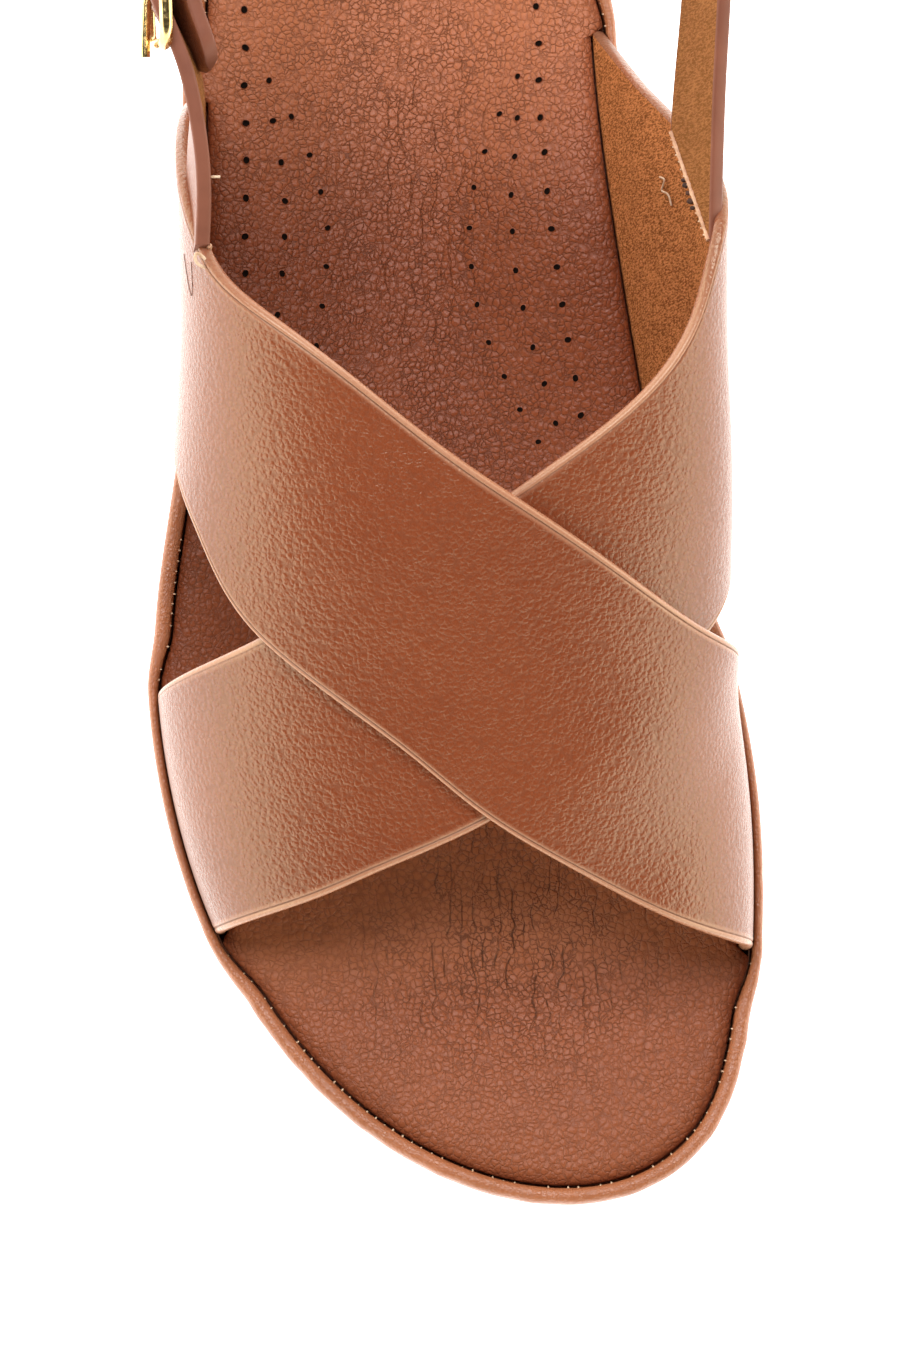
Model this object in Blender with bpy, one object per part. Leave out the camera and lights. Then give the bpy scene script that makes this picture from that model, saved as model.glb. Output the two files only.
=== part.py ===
"""Comfort sandal for the right foot: two crossed leather straps on a contoured wedge sole, with a heel sling.

The toe points along -Y, the big toe side is +X and the sole stands on Z = 0.
Sizes are in millimetres. A station is the distance back from the toe tip.
A turn runs over the foot from 0 at the lateral groove to 1 at the medial groove.
"""
import math

import bmesh
import bpy
import numpy as np

for old in list(bpy.data.objects):
    bpy.data.objects.remove(old, do_unlink=True)

MM = 0.001

# Driving sizes of the whole shoe
LENGTH = 256.0
TOE_SPRING = 9.0
TOE_SPRING_FROM = 62.0
HEEL_BEVEL = 3.0
HEEL_BEVEL_FROM = 240.0
WAIST_RECESS = 1.6
WAIST_FROM = 112.0
WAIST_TO = 182.0
ARCH_RISE = 4.0
ARCH_STATION = 155.0
ARCH_SPREAD = 28.0
ARCH_BLEND = 25.0
RIM_SPRING = 0.9 * TOE_SPRING

# Layers of the sole
GAP = 0.3
OUTSOLE = 4.0
INSOLE = 4.4
INSOLE_EDGE_DROP = 0.8
INSOLE_ROUND = 1.0
INSOLE_SHOULDER = 0.03
DISH_SHARE = 0.75
RIM_SHARE = 0.9
RAND_TOP = 0.7
RAND_DEPTH = 9.5
RAND_WALL = 2.5
RAND_WALL_AT_STRAP = 1.5
LEDGE_INSET = 0.9
SOLE_TAPER = 2.4
SIDE_GROOVE = 0.9
SIDE_GROOVE_TALL = 1.8
SIDE_GROOVE_SHARE = 0.38
OUTSOLE_ROUND = 1.2
SPINE_FROM = 42.0
SPINE_LONG = 174.0
DISH_RINGS = (0.88, 0.6, 0.36, 0.16)
FLAT_RINGS = (0.88, 0.3)

# Leather of the straps
STRAP = 2.0
CROSSING_BITE = 0.35
CROSSING_EASE = 12.0
CROSSING_GROOVE = 0.06
STRAP_SEAT = 4.2
SLOT_PLAIN = 0.4
SLOT_MARGIN = 6.5
SLOT_EASE = 3.0
SLING_WIDE = 12.0
SLING_THICK = 2.2

# Buckle of the sling
BUCKLE_WIRE = 1.0
BUCKLE_TALL = 17.0
BUCKLE_CORNER = 3.0
PRONG_WIRE = 0.75
PRONG_BOW = 0.5
PRONG_TIP = 1.6
SLIT_LONG = 10.8
SLIT_WIDE = 2.4
SLIT_BEHIND = 1.6
KEEPER_LONG = 5.0
KEEPER_THICK = 1.2

# Tread under the outsole
TREAD_PITCH = 9.0
TREAD_WIDE = 2.2
TREAD_DEEP = 1.8
TREAD_SKEW = 0.12
TREAD_RUNS = ((34.0, 104.0), (190.0, 244.0))

# How finely the solids are faceted
AROUND = 84
ALONG_STRAP = 30
ACROSS_STRAP = 7
ALONG_SLING = 60
ALONG_BUCKLE_STRAP = 26
WIRE_SIDES = 8
PRONG_SIDES = 6
CORNER_STEPS = 3
OUTLINE_SAMPLES = 2001
SIDE_SAMPLES = 1440
SECTION_SAMPLES = 61
EDGE_SAMPLES = 121

# Section of the rand: share of its wall, height over the rim
RAND_SECTION = (
    (0.0, -RAND_DEPTH),
    (0.0, -0.6),
    (0.3, 0.6),
    (0.6, RAND_TOP),
    (0.9, 0.1),
    (1.0, -1.4),
    (1.0, 1.2 - RAND_DEPTH),
    (0.8, -RAND_DEPTH),
)

# Edge of the footbed, from the toe tip along the medial side: x, station
FOOTBED_EDGE = (
    (17.0, 3.2),
    (28.5, 5.6),
    (36.8, 12.2),
    (42.0, 25.0),
    (43.9, 44.0),
    (43.3, 64.0),
    (38.6, 88.0),
    (32.2, 112.0),
    (27.0, 138.0),
    (22.8, 165.0),
    (20.8, 190.0),
    (20.4, 215.0),
    (14.0, 238.5),
    (-9.2, 252.6),
    (-32.4, 238.5),
    (-38.6, 215.0),
    (-39.5, 190.0),
    (-39.4, 160.0),
    (-39.9, 131.0),
    (-42.4, 110.0),
    (-44.9, 88.0),
    (-43.2, 68.0),
    (-38.4, 50.0),
    (-30.4, 33.5),
    (-19.8, 20.2),
    (-3.4, 8.3),
)

# Thickness of the sole at its rim and depth of the footbed's dish: station, stack, dish
SOLE_PROFILE = (
    (0.0, 19.0, 1.2),
    (35.0, 21.0, 2.4),
    (70.0, 23.0, 3.2),
    (110.0, 25.5, 3.0),
    (150.0, 29.5, 3.6),
    (190.0, 33.5, 5.4),
    (225.0, 35.5, 6.2),
    (256.0, 36.5, 3.5),
)

# Sections of the last above the rim: station, height, crown x, fullness, lateral lean, medial lean
LAST = (
    (36.0, 22.0, 6.0, 2.3, 0.0, 2.0),
    (58.0, 30.0, 3.0, 2.3, 0.0, 2.0),
    (80.0, 38.0, 0.0, 2.3, 0.0, 8.0),
    (105.0, 48.0, -3.0, 2.6, 2.0, 23.0),
    (130.0, 56.0, -5.0, 3.3, 3.0, 26.0),
    (160.0, 63.0, -8.0, 4.2, 4.0, 30.0),
    (190.0, 66.0, -9.0, 4.2, 4.0, 34.0),
)
LEAN_EASE = 0.15

# Upper strap, medial groove to lateral groove: front station, front turn, rear station, rear turn
UPPER_STRAP = (
    (40.0, 1.00, 84.0, 1.00),
    (40.3, 0.91, 84.6, 0.89),
    (42.0, 0.81, 87.5, 0.77),
    (47.5, 0.68, 96.0, 0.65),
    (58.0, 0.53, 105.0, 0.545),
    (69.0, 0.43, 114.5, 0.45),
    (85.0, 0.296, 127.0, 0.355),
    (100.0, 0.225, 137.0, 0.285),
    (112.0, 0.15, 148.5, 0.235),
    (123.0, 0.07, 165.0, 0.13),
    (130.0, 0.00, 174.0, 0.00),
)

# Lower strap, lateral groove to medial groove: front station, front turn, rear station, rear turn
LOWER_STRAP = (
    (43.0, 0.00, 80.0, 0.00),
    (43.2, 0.10, 80.5, 0.11),
    (46.0, 0.246, 83.0, 0.23),
    (50.5, 0.37, 88.0, 0.34),
    (58.0, 0.529, 97.0, 0.47),
    (68.0, 0.64, 107.0, 0.57),
    (78.0, 0.73, 118.0, 0.654),
    (87.0, 0.80, 130.0, 0.703),
    (97.0, 0.86, 142.0, 0.728),
    (105.0, 0.93, 157.0, 0.81),
    (110.0, 1.00, 184.0, 1.00),
)

# Sling, medial sewn end round the heel to its tip: x, station, height, outward lean, skew of the cut
SLING = (
    (34.3, 150.0, 71.0, 24.0, 9.0),
    (36.9, 166.0, 79.0, 26.0, 2.0),
    (36.4, 190.0, 87.0, 22.0, 0.0),
    (27.6, 219.0, 91.0, 12.0, 0.0),
    (10.0, 243.0, 92.0, 6.0, 0.0),
    (-9.0, 250.0, 92.0, 5.0, 0.0),
    (-28.0, 241.0, 91.0, 2.0, 0.0),
    (-40.0, 217.0, 88.6, -3.0, 0.0),
    (-42.2, 196.0, 85.6, -5.0, 0.0),
    (-40.9, 182.0, 83.0, -6.0, 0.0),
    (-38.9, 173.5, 81.3, -6.0, 0.0),
    (-36.6, 166.0, 79.6, -6.0, 0.0),
)

# Buckle strap, lateral sewn end back through the buckle to its tail: as the sling
BUCKLE_STRAP = (
    (-35.9, 141.0, 71.5, 8.0, -3.0),
    (-37.2, 156.0, 76.8, 6.0, 0.0),
    (-39.4, 166.0, 79.6, 6.0, 0.0),
    (-42.3, 174.0, 81.4, 6.0, 0.0),
    (-46.6, 182.0, 83.0, 6.0, 0.0),
    (-47.2, 190.0, 84.5, 6.0, 0.0),
    (-45.3, 200.0, 86.2, 4.0, 0.0),
    (-43.9, 208.0, 87.4, 3.0, 0.0),
)
FRONT_BAR_STATION = 168.0
HINGE_BAR_STATION = 182.0
KEEPER_STATION = 199.0
LATERAL_FROM = -20.0


def smooth(knots, values, places):
    """Natural cubic spline through the knots, read at the given places."""
    x = np.asarray(knots, float)
    y = np.asarray(values, float)
    step = np.diff(x)
    slope = np.diff(y) / step
    count = len(x)
    system = np.eye(count)
    right = np.zeros(count)
    for i in range(1, count - 1):
        system[i, i - 1:i + 2] = step[i - 1], 2 * (step[i - 1] + step[i]), step[i]
        right[i] = 6 * (slope[i] - slope[i - 1])
    bend = np.linalg.solve(system, right)
    places = np.clip(np.asarray(places, float), x[0], x[-1])
    i = np.clip(np.searchsorted(x, places) - 1, 0, count - 2)
    a = (x[i + 1] - places) / step[i]
    b = (places - x[i]) / step[i]
    cubic = (a ** 3 - a) * bend[i] + (b ** 3 - b) * bend[i + 1]
    return a * y[i] + b * y[i + 1] + cubic * step[i] ** 2 / 6


def column(table, index, station):
    """One column of a station table at the given stations."""
    rows = np.asarray(table, float)
    return smooth(rows[:, 0], rows[:, index], station)


def ease(value):
    """Smooth step from 0 to 1."""
    value = np.clip(value, 0.0, 1.0)
    return value * value * (3 - 2 * value)


def footbed_outline(count):
    """Points at equal steps round the footbed's edge, as x and station."""
    edge = np.array(FOOTBED_EDGE)
    wrap = 5
    points = np.vstack([edge[-wrap:], edge, edge[:wrap + 1]])
    chord = np.hypot(*np.diff(points, axis=0).T)
    run = np.concatenate([[0.0], np.cumsum(chord)])
    fine = np.linspace(run[wrap], run[wrap + len(edge)], OUTLINE_SAMPLES)
    x = smooth(run, points[:, 0], fine)
    station = smooth(run, points[:, 1], fine)
    arc = np.concatenate([[0.0], np.cumsum(np.hypot(np.diff(x), np.diff(station)))])
    steps = np.linspace(0.0, arc[-1], count, endpoint=False)
    return np.interp(steps, arc, x), np.interp(steps, arc, station)


FINE_X, FINE_STATION = footbed_outline(SIDE_SAMPLES)
HEEL_END = int(np.argmax(FINE_STATION))
MEDIAL_SIDE = slice(0, HEEL_END + 1)
LATERAL_SIDE = slice(HEEL_END, None)


def edge_x(station, medial):
    """X of the footbed's edge at a station, on the medial or the lateral side."""
    if medial:
        return np.interp(station, FINE_STATION[MEDIAL_SIDE], FINE_X[MEDIAL_SIDE])
    return np.interp(station, FINE_STATION[LATERAL_SIDE][::-1], FINE_X[LATERAL_SIDE][::-1])


def middle_x(station):
    """X half way between the footbed's two edges."""
    return (edge_x(station, True) + edge_x(station, False)) / 2


def ground_lift(station):
    """Height of the sole's underside: toe spring, waist recess and heel bevel."""
    toe = np.clip((TOE_SPRING_FROM - station) / TOE_SPRING_FROM, 0, None) ** 2
    heel = np.clip((station - HEEL_BEVEL_FROM) / (LENGTH - HEEL_BEVEL_FROM), 0, None) ** 2
    share = np.clip((station - WAIST_FROM) / (WAIST_TO - WAIST_FROM), 0, 1)
    waist = np.sin(math.pi * share) ** 2
    return TOE_SPRING * toe + HEEL_BEVEL * heel + WAIST_RECESS * waist


def rim_height(x, station):
    """Height of the footbed's rim, raised along the medial arch."""
    toe = np.clip((TOE_SPRING_FROM - station) / TOE_SPRING_FROM, 0, None) ** 2
    plain = column(SOLE_PROFILE, 1, station) + RIM_SPRING * toe
    arch = ARCH_RISE * np.exp(-((station - ARCH_STATION) / ARCH_SPREAD) ** 2)
    return plain + arch * ease((x - middle_x(station)) / ARCH_BLEND)


def last_section(station):
    """X and height along one section of the last, lateral groove to medial groove."""
    height, crown, fullness, lateral_lean, medial_lean = (
        float(column(LAST, index, station)) for index in range(1, 6))
    angle = np.linspace(0.0, math.pi, SECTION_SAMPLES)
    across = np.abs(np.cos(angle)) ** (2 / fullness)
    up = np.sin(angle) ** (2 / fullness)
    lean = np.hypot(up, LEAN_EASE) - LEAN_EASE
    lateral = edge_x(station, False) - GAP
    medial = edge_x(station, True) + GAP
    on_lateral = crown - (crown - lateral + lateral_lean * lean) * across
    on_medial = crown + (medial - crown + medial_lean * lean) * across
    x = np.where(angle < math.pi / 2, on_lateral, on_medial)
    rims = [rim_height(lateral, station), rim_height(medial, station)]
    foot = np.interp(x, [lateral, medial], rims)
    return x, foot + height * up


def last_point(station, turn):
    """Point on the last at a station and a turn."""
    x, z = last_section(station)
    run = np.concatenate([[0.0], np.cumsum(np.hypot(np.diff(x), np.diff(z)))])
    at = turn * run[-1]
    return np.array([np.interp(at, run, x), station - LENGTH / 2, np.interp(at, run, z)])


def last_normal(station, turn):
    """Outward direction of the last at a station and a turn."""
    small_turn = 0.01
    small_run = 0.5
    over = last_point(station, min(turn + small_turn, 1.0)) - last_point(station, max(turn - small_turn, 0.0))
    back = last_point(station + small_run, turn) - last_point(station - small_run, turn)
    normal = np.cross(over, back)
    return normal / np.linalg.norm(normal)


def strap_edges(table, share):
    """Front and rear edge of a strap at a share of its run: front station, turn, rear station, turn."""
    rows = np.array(table)
    knots = np.linspace(0.0, 1.0, len(rows))
    return [smooth(knots, rows[:, index], share) for index in range(4)]


def turned_stations(table, turn):
    """Stations between which a strap covers the last at a turn."""
    share = np.linspace(0.0, 1.0, EDGE_SAMPLES)
    front, front_turn, rear, rear_turn = strap_edges(table, share)
    front_order = np.argsort(front_turn)
    rear_order = np.argsort(rear_turn)
    first = np.interp(turn, front_turn[front_order], front[front_order])
    return first, np.interp(turn, rear_turn[rear_order], rear[rear_order])


def crossing_lift(station, turn):
    """How far the upper strap rises where it rides over the lower strap."""
    first, last = turned_stations(LOWER_STRAP, turn)
    outside = max(first - station, station - last, 0.0)
    at_groove = ease(min(turn, 1.0 - turn) / CROSSING_GROOVE)
    return (STRAP - CROSSING_BITE) * ease(1.0 - outside / CROSSING_EASE) * at_groove


def mesh_object(name, points, faces, material):
    """Object from points in millimetres and faces, with its faces turned outwards."""
    mesh = bpy.data.meshes.new(name)
    mesh.from_pydata([tuple(point * MM) for point in np.asarray(points, float)], [], faces)
    shape = bmesh.new()
    shape.from_mesh(mesh)
    bmesh.ops.triangulate(shape, faces=shape.faces, quad_method="SHORT_EDGE")
    bmesh.ops.recalc_face_normals(shape, faces=shape.faces)
    shape.to_mesh(mesh)
    shape.free()
    mesh.shade_smooth()
    mesh.set_sharp_from_angle(angle=math.radians(40))
    mesh.materials.append(material)
    built = bpy.data.objects.new(name, mesh)
    bpy.context.collection.objects.link(built)
    return built


def finish(name, colour, roughness, metallic=0.0):
    """Principled material of one piece."""
    made = bpy.data.materials.new(name)
    made.use_nodes = True
    shader = made.node_tree.nodes["Principled BSDF"]
    shader.inputs["Base Color"].default_value = (*colour, 1.0)
    shader.inputs["Roughness"].default_value = roughness
    shader.inputs["Metallic"].default_value = metallic
    return made


def loop_faces(rings, count, closed):
    """Quads between successive rings of points."""
    faces = []
    for ring in range(rings if closed else rings - 1):
        here = ring * count
        there = (ring + 1) % rings * count
        for i in range(count):
            j = (i + 1) % count
            faces.append((here + i, here + j, there + j, there + i))
    return faces


def ladder_cap(start, count):
    """Quads that close a long loop of points by rungs from side to side."""
    half = count // 2
    faces = [(start, start + 1, start + count - 1)]
    for i in range(1, half - 1):
        faces.append((start + i, start + i + 1, start + count - i - 1, start + count - i))
    faces.append((start + half - 1, start + half, start + half + 1))
    return faces


def layered_solid(name, rings, material):
    """Closed solid from rings round the foot, the first and last closed by rungs."""
    count = len(rings[0])
    faces = loop_faces(len(rings), count, False)
    faces += ladder_cap(0, count)
    faces += ladder_cap((len(rings) - 1) * count, count)
    return mesh_object(name, np.vstack(rings), faces, material)


EDGE_X, EDGE_STATION = footbed_outline(AROUND)
EDGE_Y = EDGE_STATION - LENGTH / 2
EDGE_RIM = rim_height(EDGE_X, EDGE_STATION)
EDGE = np.column_stack([EDGE_X, EDGE_Y])
EDGE_RUN = np.roll(EDGE, -1, 0) - np.roll(EDGE, 1, 0)
EDGE_OUT = np.column_stack([EDGE_RUN[:, 1], -EDGE_RUN[:, 0]]) / np.hypot(*EDGE_RUN.T)[:, None]
IS_MEDIAL = EDGE_X > middle_x(EDGE_STATION)


def strap_zone():
    """Share of a full slot round the edge: 1 where a strap enters the groove."""
    share = np.zeros(AROUND)
    for table in (UPPER_STRAP, LOWER_STRAP):
        for row in (table[0], table[-1]):
            on_side = IS_MEDIAL == (row[1] > 0.5)
            outside = np.maximum(row[0] - EDGE_STATION, EDGE_STATION - row[2])
            near = ease((SLOT_MARGIN + SLOT_EASE - outside) / SLOT_EASE)
            share = np.maximum(share, on_side * near)
    return share


ZONE = strap_zone()
SLOT = SLOT_PLAIN + ZONE * (STRAP + 2 * GAP - SLOT_PLAIN)
WALL = RAND_WALL + ZONE * (RAND_WALL_AT_STRAP - RAND_WALL)


def inward_ring(share, heights):
    """Ring drawn in from the footbed's edge towards its middle line by a share."""
    spine_station = SPINE_FROM + EDGE_STATION / LENGTH * SPINE_LONG
    x = EDGE_X + (middle_x(spine_station) - EDGE_X) * share
    y = EDGE_Y + (spine_station - EDGE_STATION) * share
    return np.column_stack([x, y, heights(x, y + LENGTH / 2, share)])


def outward_ring(distance, height):
    """Ring set out from the footbed's edge by a distance, at a height."""
    flat = EDGE + EDGE_OUT * (distance * np.ones(AROUND))[:, None]
    return np.column_stack([flat, height * np.ones(AROUND)])


def footbed_height(x, station, share):
    """Dished top of the footbed, drawn in from the edge by a share."""
    dish = column(SOLE_PROFILE, 2, station) * ease(share / DISH_SHARE)
    rim = EDGE_RIM + (rim_height(x, station) - EDGE_RIM) * ease(share / RIM_SHARE)
    return rim - INSOLE_EDGE_DROP - dish


def insole_underside(x, station, share):
    """Underside of the footbed cover."""
    return footbed_height(x, station, share) - INSOLE


def foam_top(x, station, share):
    """Top of the foam under the footbed cover."""
    return insole_underside(x, station, share) - GAP


def rubber_top(x, station, share):
    """Top of the outsole."""
    return ground_lift(station) + OUTSOLE


def foam_foot(x, station, share):
    """Underside of the foam."""
    return rubber_top(x, station, share) + GAP


def rubber_foot(x, station, share):
    """Underside of the outsole."""
    return ground_lift(station)


def make_insole():
    """Padded footbed cover, dished and raised at the arch."""
    under = [inward_ring(share, insole_underside) for share in DISH_RINGS]
    over = [inward_ring(share, footbed_height) for share in DISH_RINGS[::-1]]
    low_edge = outward_ring(0.0, EDGE_RIM - INSOLE_EDGE_DROP - INSOLE)
    high_edge = outward_ring(0.0, EDGE_RIM - INSOLE_EDGE_DROP - INSOLE_ROUND)
    shoulder = inward_ring(INSOLE_SHOULDER, footbed_height)
    rings = under + [low_edge, high_edge, shoulder] + over
    leather = finish("insole_leather", (0.27, 0.095, 0.045), 0.5)
    return layered_solid("insole", rings, leather)


def make_rand():
    """Leather rim wrapped round the footbed, swollen where the straps go in."""
    rings = [outward_ring(SLOT + share * WALL, EDGE_RIM + height) for share, height in RAND_SECTION]
    leather = finish("rand_leather", (0.36, 0.14, 0.075), 0.45)
    return mesh_object("rand", np.vstack(rings), loop_faces(len(rings), AROUND, True), leather)


def side_rows():
    """Rows down the midsole's side as distance out and height, with one moulded groove."""
    top = EDGE_RIM - RAND_DEPTH - GAP
    foot = ground_lift(EDGE_STATION) + OUTSOLE + GAP
    out = SLOT + WALL - LEDGE_INSET
    tall = top - foot
    groove = foot + SIDE_GROOVE_SHARE * tall
    half = SIDE_GROOVE_TALL / 2
    rows = []
    for height, cut in ((top, 0.0), (groove + half, 0.0), (groove + half / 2, SIDE_GROOVE),
                        (groove - half / 2, SIDE_GROOVE), (groove - half, 0.0), (foot, 0.0)):
        fall = (top - height) / tall
        rows.append((out - SOLE_TAPER * fall ** 1.5 - cut, height))
    return rows


def make_midsole():
    """Foam wedge between footbed and outsole, with a collar inside the rand."""
    over = [inward_ring(share, foam_top) for share in DISH_RINGS]
    shelf = EDGE_RIM - INSOLE_EDGE_DROP - INSOLE - GAP
    collar_top = outward_ring(SLOT - GAP, shelf)
    collar_foot = outward_ring(SLOT - GAP, EDGE_RIM - RAND_DEPTH - GAP)
    edge = outward_ring(0.0, shelf)
    sides = [outward_ring(distance, height) for distance, height in side_rows()]
    under = [inward_ring(share, foam_foot) for share in FLAT_RINGS[::-1]]
    foam = finish("midsole_foam", (0.30, 0.115, 0.06), 0.6)
    return layered_solid("midsole", over + [edge, collar_top, collar_foot] + sides + under, foam)


BOX_FACES = ((0, 1, 3, 2), (4, 6, 7, 5), (0, 4, 5, 1), (2, 3, 7, 6), (0, 2, 6, 4), (1, 5, 7, 3))


def hide_guide(guide):
    """Marks an object that only shapes another."""
    guide.hide_render = True
    guide.display_type = "WIRE"
    return guide


def tread_cutter():
    """Bars that cut the cross grooves of forefoot and heel."""
    points = []
    faces = []
    half = LENGTH / 4
    for first, last in TREAD_RUNS:
        for station in np.arange(first, last, TREAD_PITCH):
            base = len(points)
            lift = float(ground_lift(station))
            for x in (-half, half):
                for y in (-TREAD_WIDE / 2, TREAD_WIDE / 2):
                    for z in (lift - OUTSOLE, lift + TREAD_DEEP):
                        points.append((x, station - LENGTH / 2 + y + TREAD_SKEW * x, z))
            faces += [tuple(base + i for i in face) for face in BOX_FACES]
    return hide_guide(mesh_object("tread_bars", points, faces, finish("tread_guide", (0.5, 0.5, 0.5), 0.5)))


def make_outsole(foot_distance):
    """Rubber outsole: flat under forefoot and heel, sprung at the toe, cut by cross grooves."""
    low = ground_lift(EDGE_STATION)
    high = low + OUTSOLE
    over = [inward_ring(share, rubber_top) for share in FLAT_RINGS]
    sides = [
        outward_ring(foot_distance, high),
        outward_ring(foot_distance, low + OUTSOLE_ROUND),
        outward_ring(foot_distance - OUTSOLE_ROUND, low),
    ]
    under = [inward_ring(share, rubber_foot) for share in FLAT_RINGS[::-1]]
    rubber = finish("outsole_rubber", (0.20, 0.075, 0.04), 0.7)
    built = layered_solid("outsole", over + sides + under, rubber)
    cut = built.modifiers.new("tread", "BOOLEAN")
    cut.operation = "DIFFERENCE"
    cut.object = tread_cutter()
    return built


def flat_lift(station, turn):
    """The lower strap lies on the last."""
    return 0.0


def strap_solid(name, table, lift, material):
    """One cross strap: a bent sheet of leather on the last, its ends standing in the groove."""
    share = np.linspace(0.0, 1.0, ALONG_STRAP + 1)
    front, front_turn, rear, rear_turn = strap_edges(table, share)
    inner = []
    outer = []
    for i in range(ALONG_STRAP + 1):
        for j in range(ACROSS_STRAP + 1):
            part = j / ACROSS_STRAP
            station = front[i] + (rear[i] - front[i]) * part
            turn = min(max(front_turn[i] + (rear_turn[i] - front_turn[i]) * part, 0.0), 1.0)
            normal = last_normal(station, turn)
            base = last_point(station, turn) + normal * lift(station, turn)
            inner.append(base)
            outer.append(base + normal * STRAP)
    width = ACROSS_STRAP + 1
    drop = np.array([0.0, 0.0, -STRAP_SEAT])
    sheets = []
    for sheet in (inner, outer):
        first = [point + drop for point in sheet[:width]]
        last = [point + drop for point in sheet[-width:]]
        sheets.append(first + sheet + last)
    rows = ALONG_STRAP + 3
    size = rows * width
    faces = []
    for i in range(rows - 1):
        for j in range(ACROSS_STRAP):
            a = i * width + j
            faces.append((a, a + 1, a + width + 1, a + width))
            faces.append((size + a, size + a + width, size + a + width + 1, size + a + 1))
        for a in (i * width, i * width + ACROSS_STRAP):
            faces.append((a, a + width, size + a + width, size + a))
    for j in range(ACROSS_STRAP):
        for a in (j, (rows - 1) * width + j):
            faces.append((a, a + 1, size + a + 1, size + a))
    return mesh_object(name, np.vstack(sheets), faces, material)


def make_upper():
    """The two cross straps, joined where they cross."""
    leather = finish("strap_leather", (0.40, 0.16, 0.085), 0.45)
    under = strap_solid("upper", LOWER_STRAP, flat_lift, leather)
    over = hide_guide(strap_solid("crossing_strap", UPPER_STRAP, crossing_lift, leather))
    join = under.modifiers.new("crossing", "BOOLEAN")
    join.operation = "UNION"
    join.object = over
    return under


def sling_frames(table, steps):
    """Centre, width direction and outward direction along a standing strap, and the skew of its cut."""
    rows = np.array(table)
    chord = np.hypot(*np.diff(rows[:, :2], axis=0).T)
    run = np.concatenate([[0.0], np.cumsum(chord)])
    at = np.linspace(0.0, run[-1], steps + 1)
    x, station, height, lean, skew = (smooth(run, rows[:, index], at) for index in range(5))
    centre = np.column_stack([x, station - LENGTH / 2, height])
    along = np.gradient(centre, axis=0)
    along /= np.linalg.norm(along, axis=1)[:, None]
    side = np.cross(along, [0.0, 0.0, 1.0])
    side /= np.linalg.norm(side, axis=1)[:, None]
    rise = np.cross(side, along)
    angle = np.radians(lean)[:, None]
    up = rise * np.cos(angle) + side * np.sin(angle)
    out = side * np.cos(angle) - rise * np.sin(angle)
    return centre, along, up, out, skew


def ribbon(name, centre, along, up, out, skew, wide, thick, material):
    """Flat strap standing on edge along its centre line."""
    points = []
    for high, far in ((-0.5, -0.5), (-0.5, 0.5), (0.5, 0.5), (0.5, -0.5)):
        shift = along * (-2.0 * high * skew)[:, None]
        points.append(centre + up * wide * high + out * thick * far + shift)
    corners = np.stack(points, axis=1).reshape(-1, 3)
    count = len(centre)
    faces = []
    for i in range(count - 1):
        for k in range(4):
            m = (k + 1) % 4
            faces.append((4 * i + k, 4 * i + m, 4 * i + 4 + m, 4 * i + 4 + k))
    faces.append((0, 1, 2, 3))
    faces.append(tuple(4 * (count - 1) + k for k in range(4)))
    return mesh_object(name, corners, faces, material)


def frame_at(frames, station):
    """Centre, along, up and out of a standing strap at a station on the lateral side."""
    centre = frames[0]
    lateral = np.where(centre[:, 0] < LATERAL_FROM)[0]
    order = lateral[np.argsort(centre[lateral, 1])]
    at = station - LENGTH / 2
    picked = []
    for values in frames[:4]:
        picked.append(np.array([np.interp(at, centre[order, 1], values[order, k]) for k in range(3)]))
    return picked


def tube(name, path, radius, closed, sides, material):
    """Round bar along a path that lies close to one plane."""
    path = np.asarray(path, float)
    count = len(path)
    ahead = np.roll(path, -1, 0) - np.roll(path, 1, 0)
    if not closed:
        ahead[0] = path[1] - path[0]
        ahead[-1] = path[-1] - path[-2]
    ahead /= np.linalg.norm(ahead, axis=1)[:, None]
    level = np.linalg.svd(path - path.mean(axis=0))[2][2]
    flat = np.cross(ahead, level)
    rings = []
    for k in range(sides):
        angle = 2 * math.pi * k / sides
        rings.append(path + radius * (flat * math.cos(angle) + level * math.sin(angle)))
    points = np.stack(rings, axis=1).reshape(-1, 3)
    faces = loop_faces(count, sides, closed)
    if not closed:
        faces.append(tuple(range(sides)))
        faces.append(tuple((count - 1) * sides + k for k in range(sides)))
    return mesh_object(name, points, faces, material)


def make_buckle(sling, strap, brass):
    """Wire frame round the buckle strap: its front bar outside, its hinge bar between strap and sling."""
    strap_front = frame_at(strap, FRONT_BAR_STATION)
    sling_hinge = frame_at(sling, HINGE_BAR_STATION)
    reach = SLING_THICK / 2 + 2 * GAP + BUCKLE_WIRE
    outward = sling_hinge[3]
    front = strap_front[0] + outward * (reach + GAP)
    hinge = sling_hinge[0] + outward * reach
    middle = (front + hinge) / 2
    along = hinge - front
    along /= np.linalg.norm(along)
    up = sling_hinge[2] - along * along.dot(sling_hinge[2])
    up /= np.linalg.norm(up)
    half_long = np.linalg.norm(hinge - front) / 2
    half_tall = BUCKLE_TALL / 2 - BUCKLE_WIRE
    path = []
    for side_long, side_tall, start in ((1, 1, 0.0), (-1, 1, 0.5), (-1, -1, 1.0), (1, -1, 1.5)):
        for k in range(CORNER_STEPS + 1):
            angle = math.pi * (start + k / CORNER_STEPS / 2)
            long = side_long * (half_long - BUCKLE_CORNER) + BUCKLE_CORNER * math.cos(angle)
            tall = side_tall * (half_tall - BUCKLE_CORNER) + BUCKLE_CORNER * math.sin(angle)
            path.append(middle + along * long + up * tall)
    tube("buckle_frame", path, BUCKLE_WIRE, True, WIRE_SIDES, brass)
    rest = BUCKLE_WIRE + GAP + PRONG_WIRE
    root = hinge - along * rest
    tip = front + outward * rest
    prong = [root, (root + tip) / 2 + outward * PRONG_BOW, tip, tip - along * PRONG_TIP]
    tube("buckle_prong", prong, PRONG_WIRE, False, PRONG_SIDES, brass)
    return root, front


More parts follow.
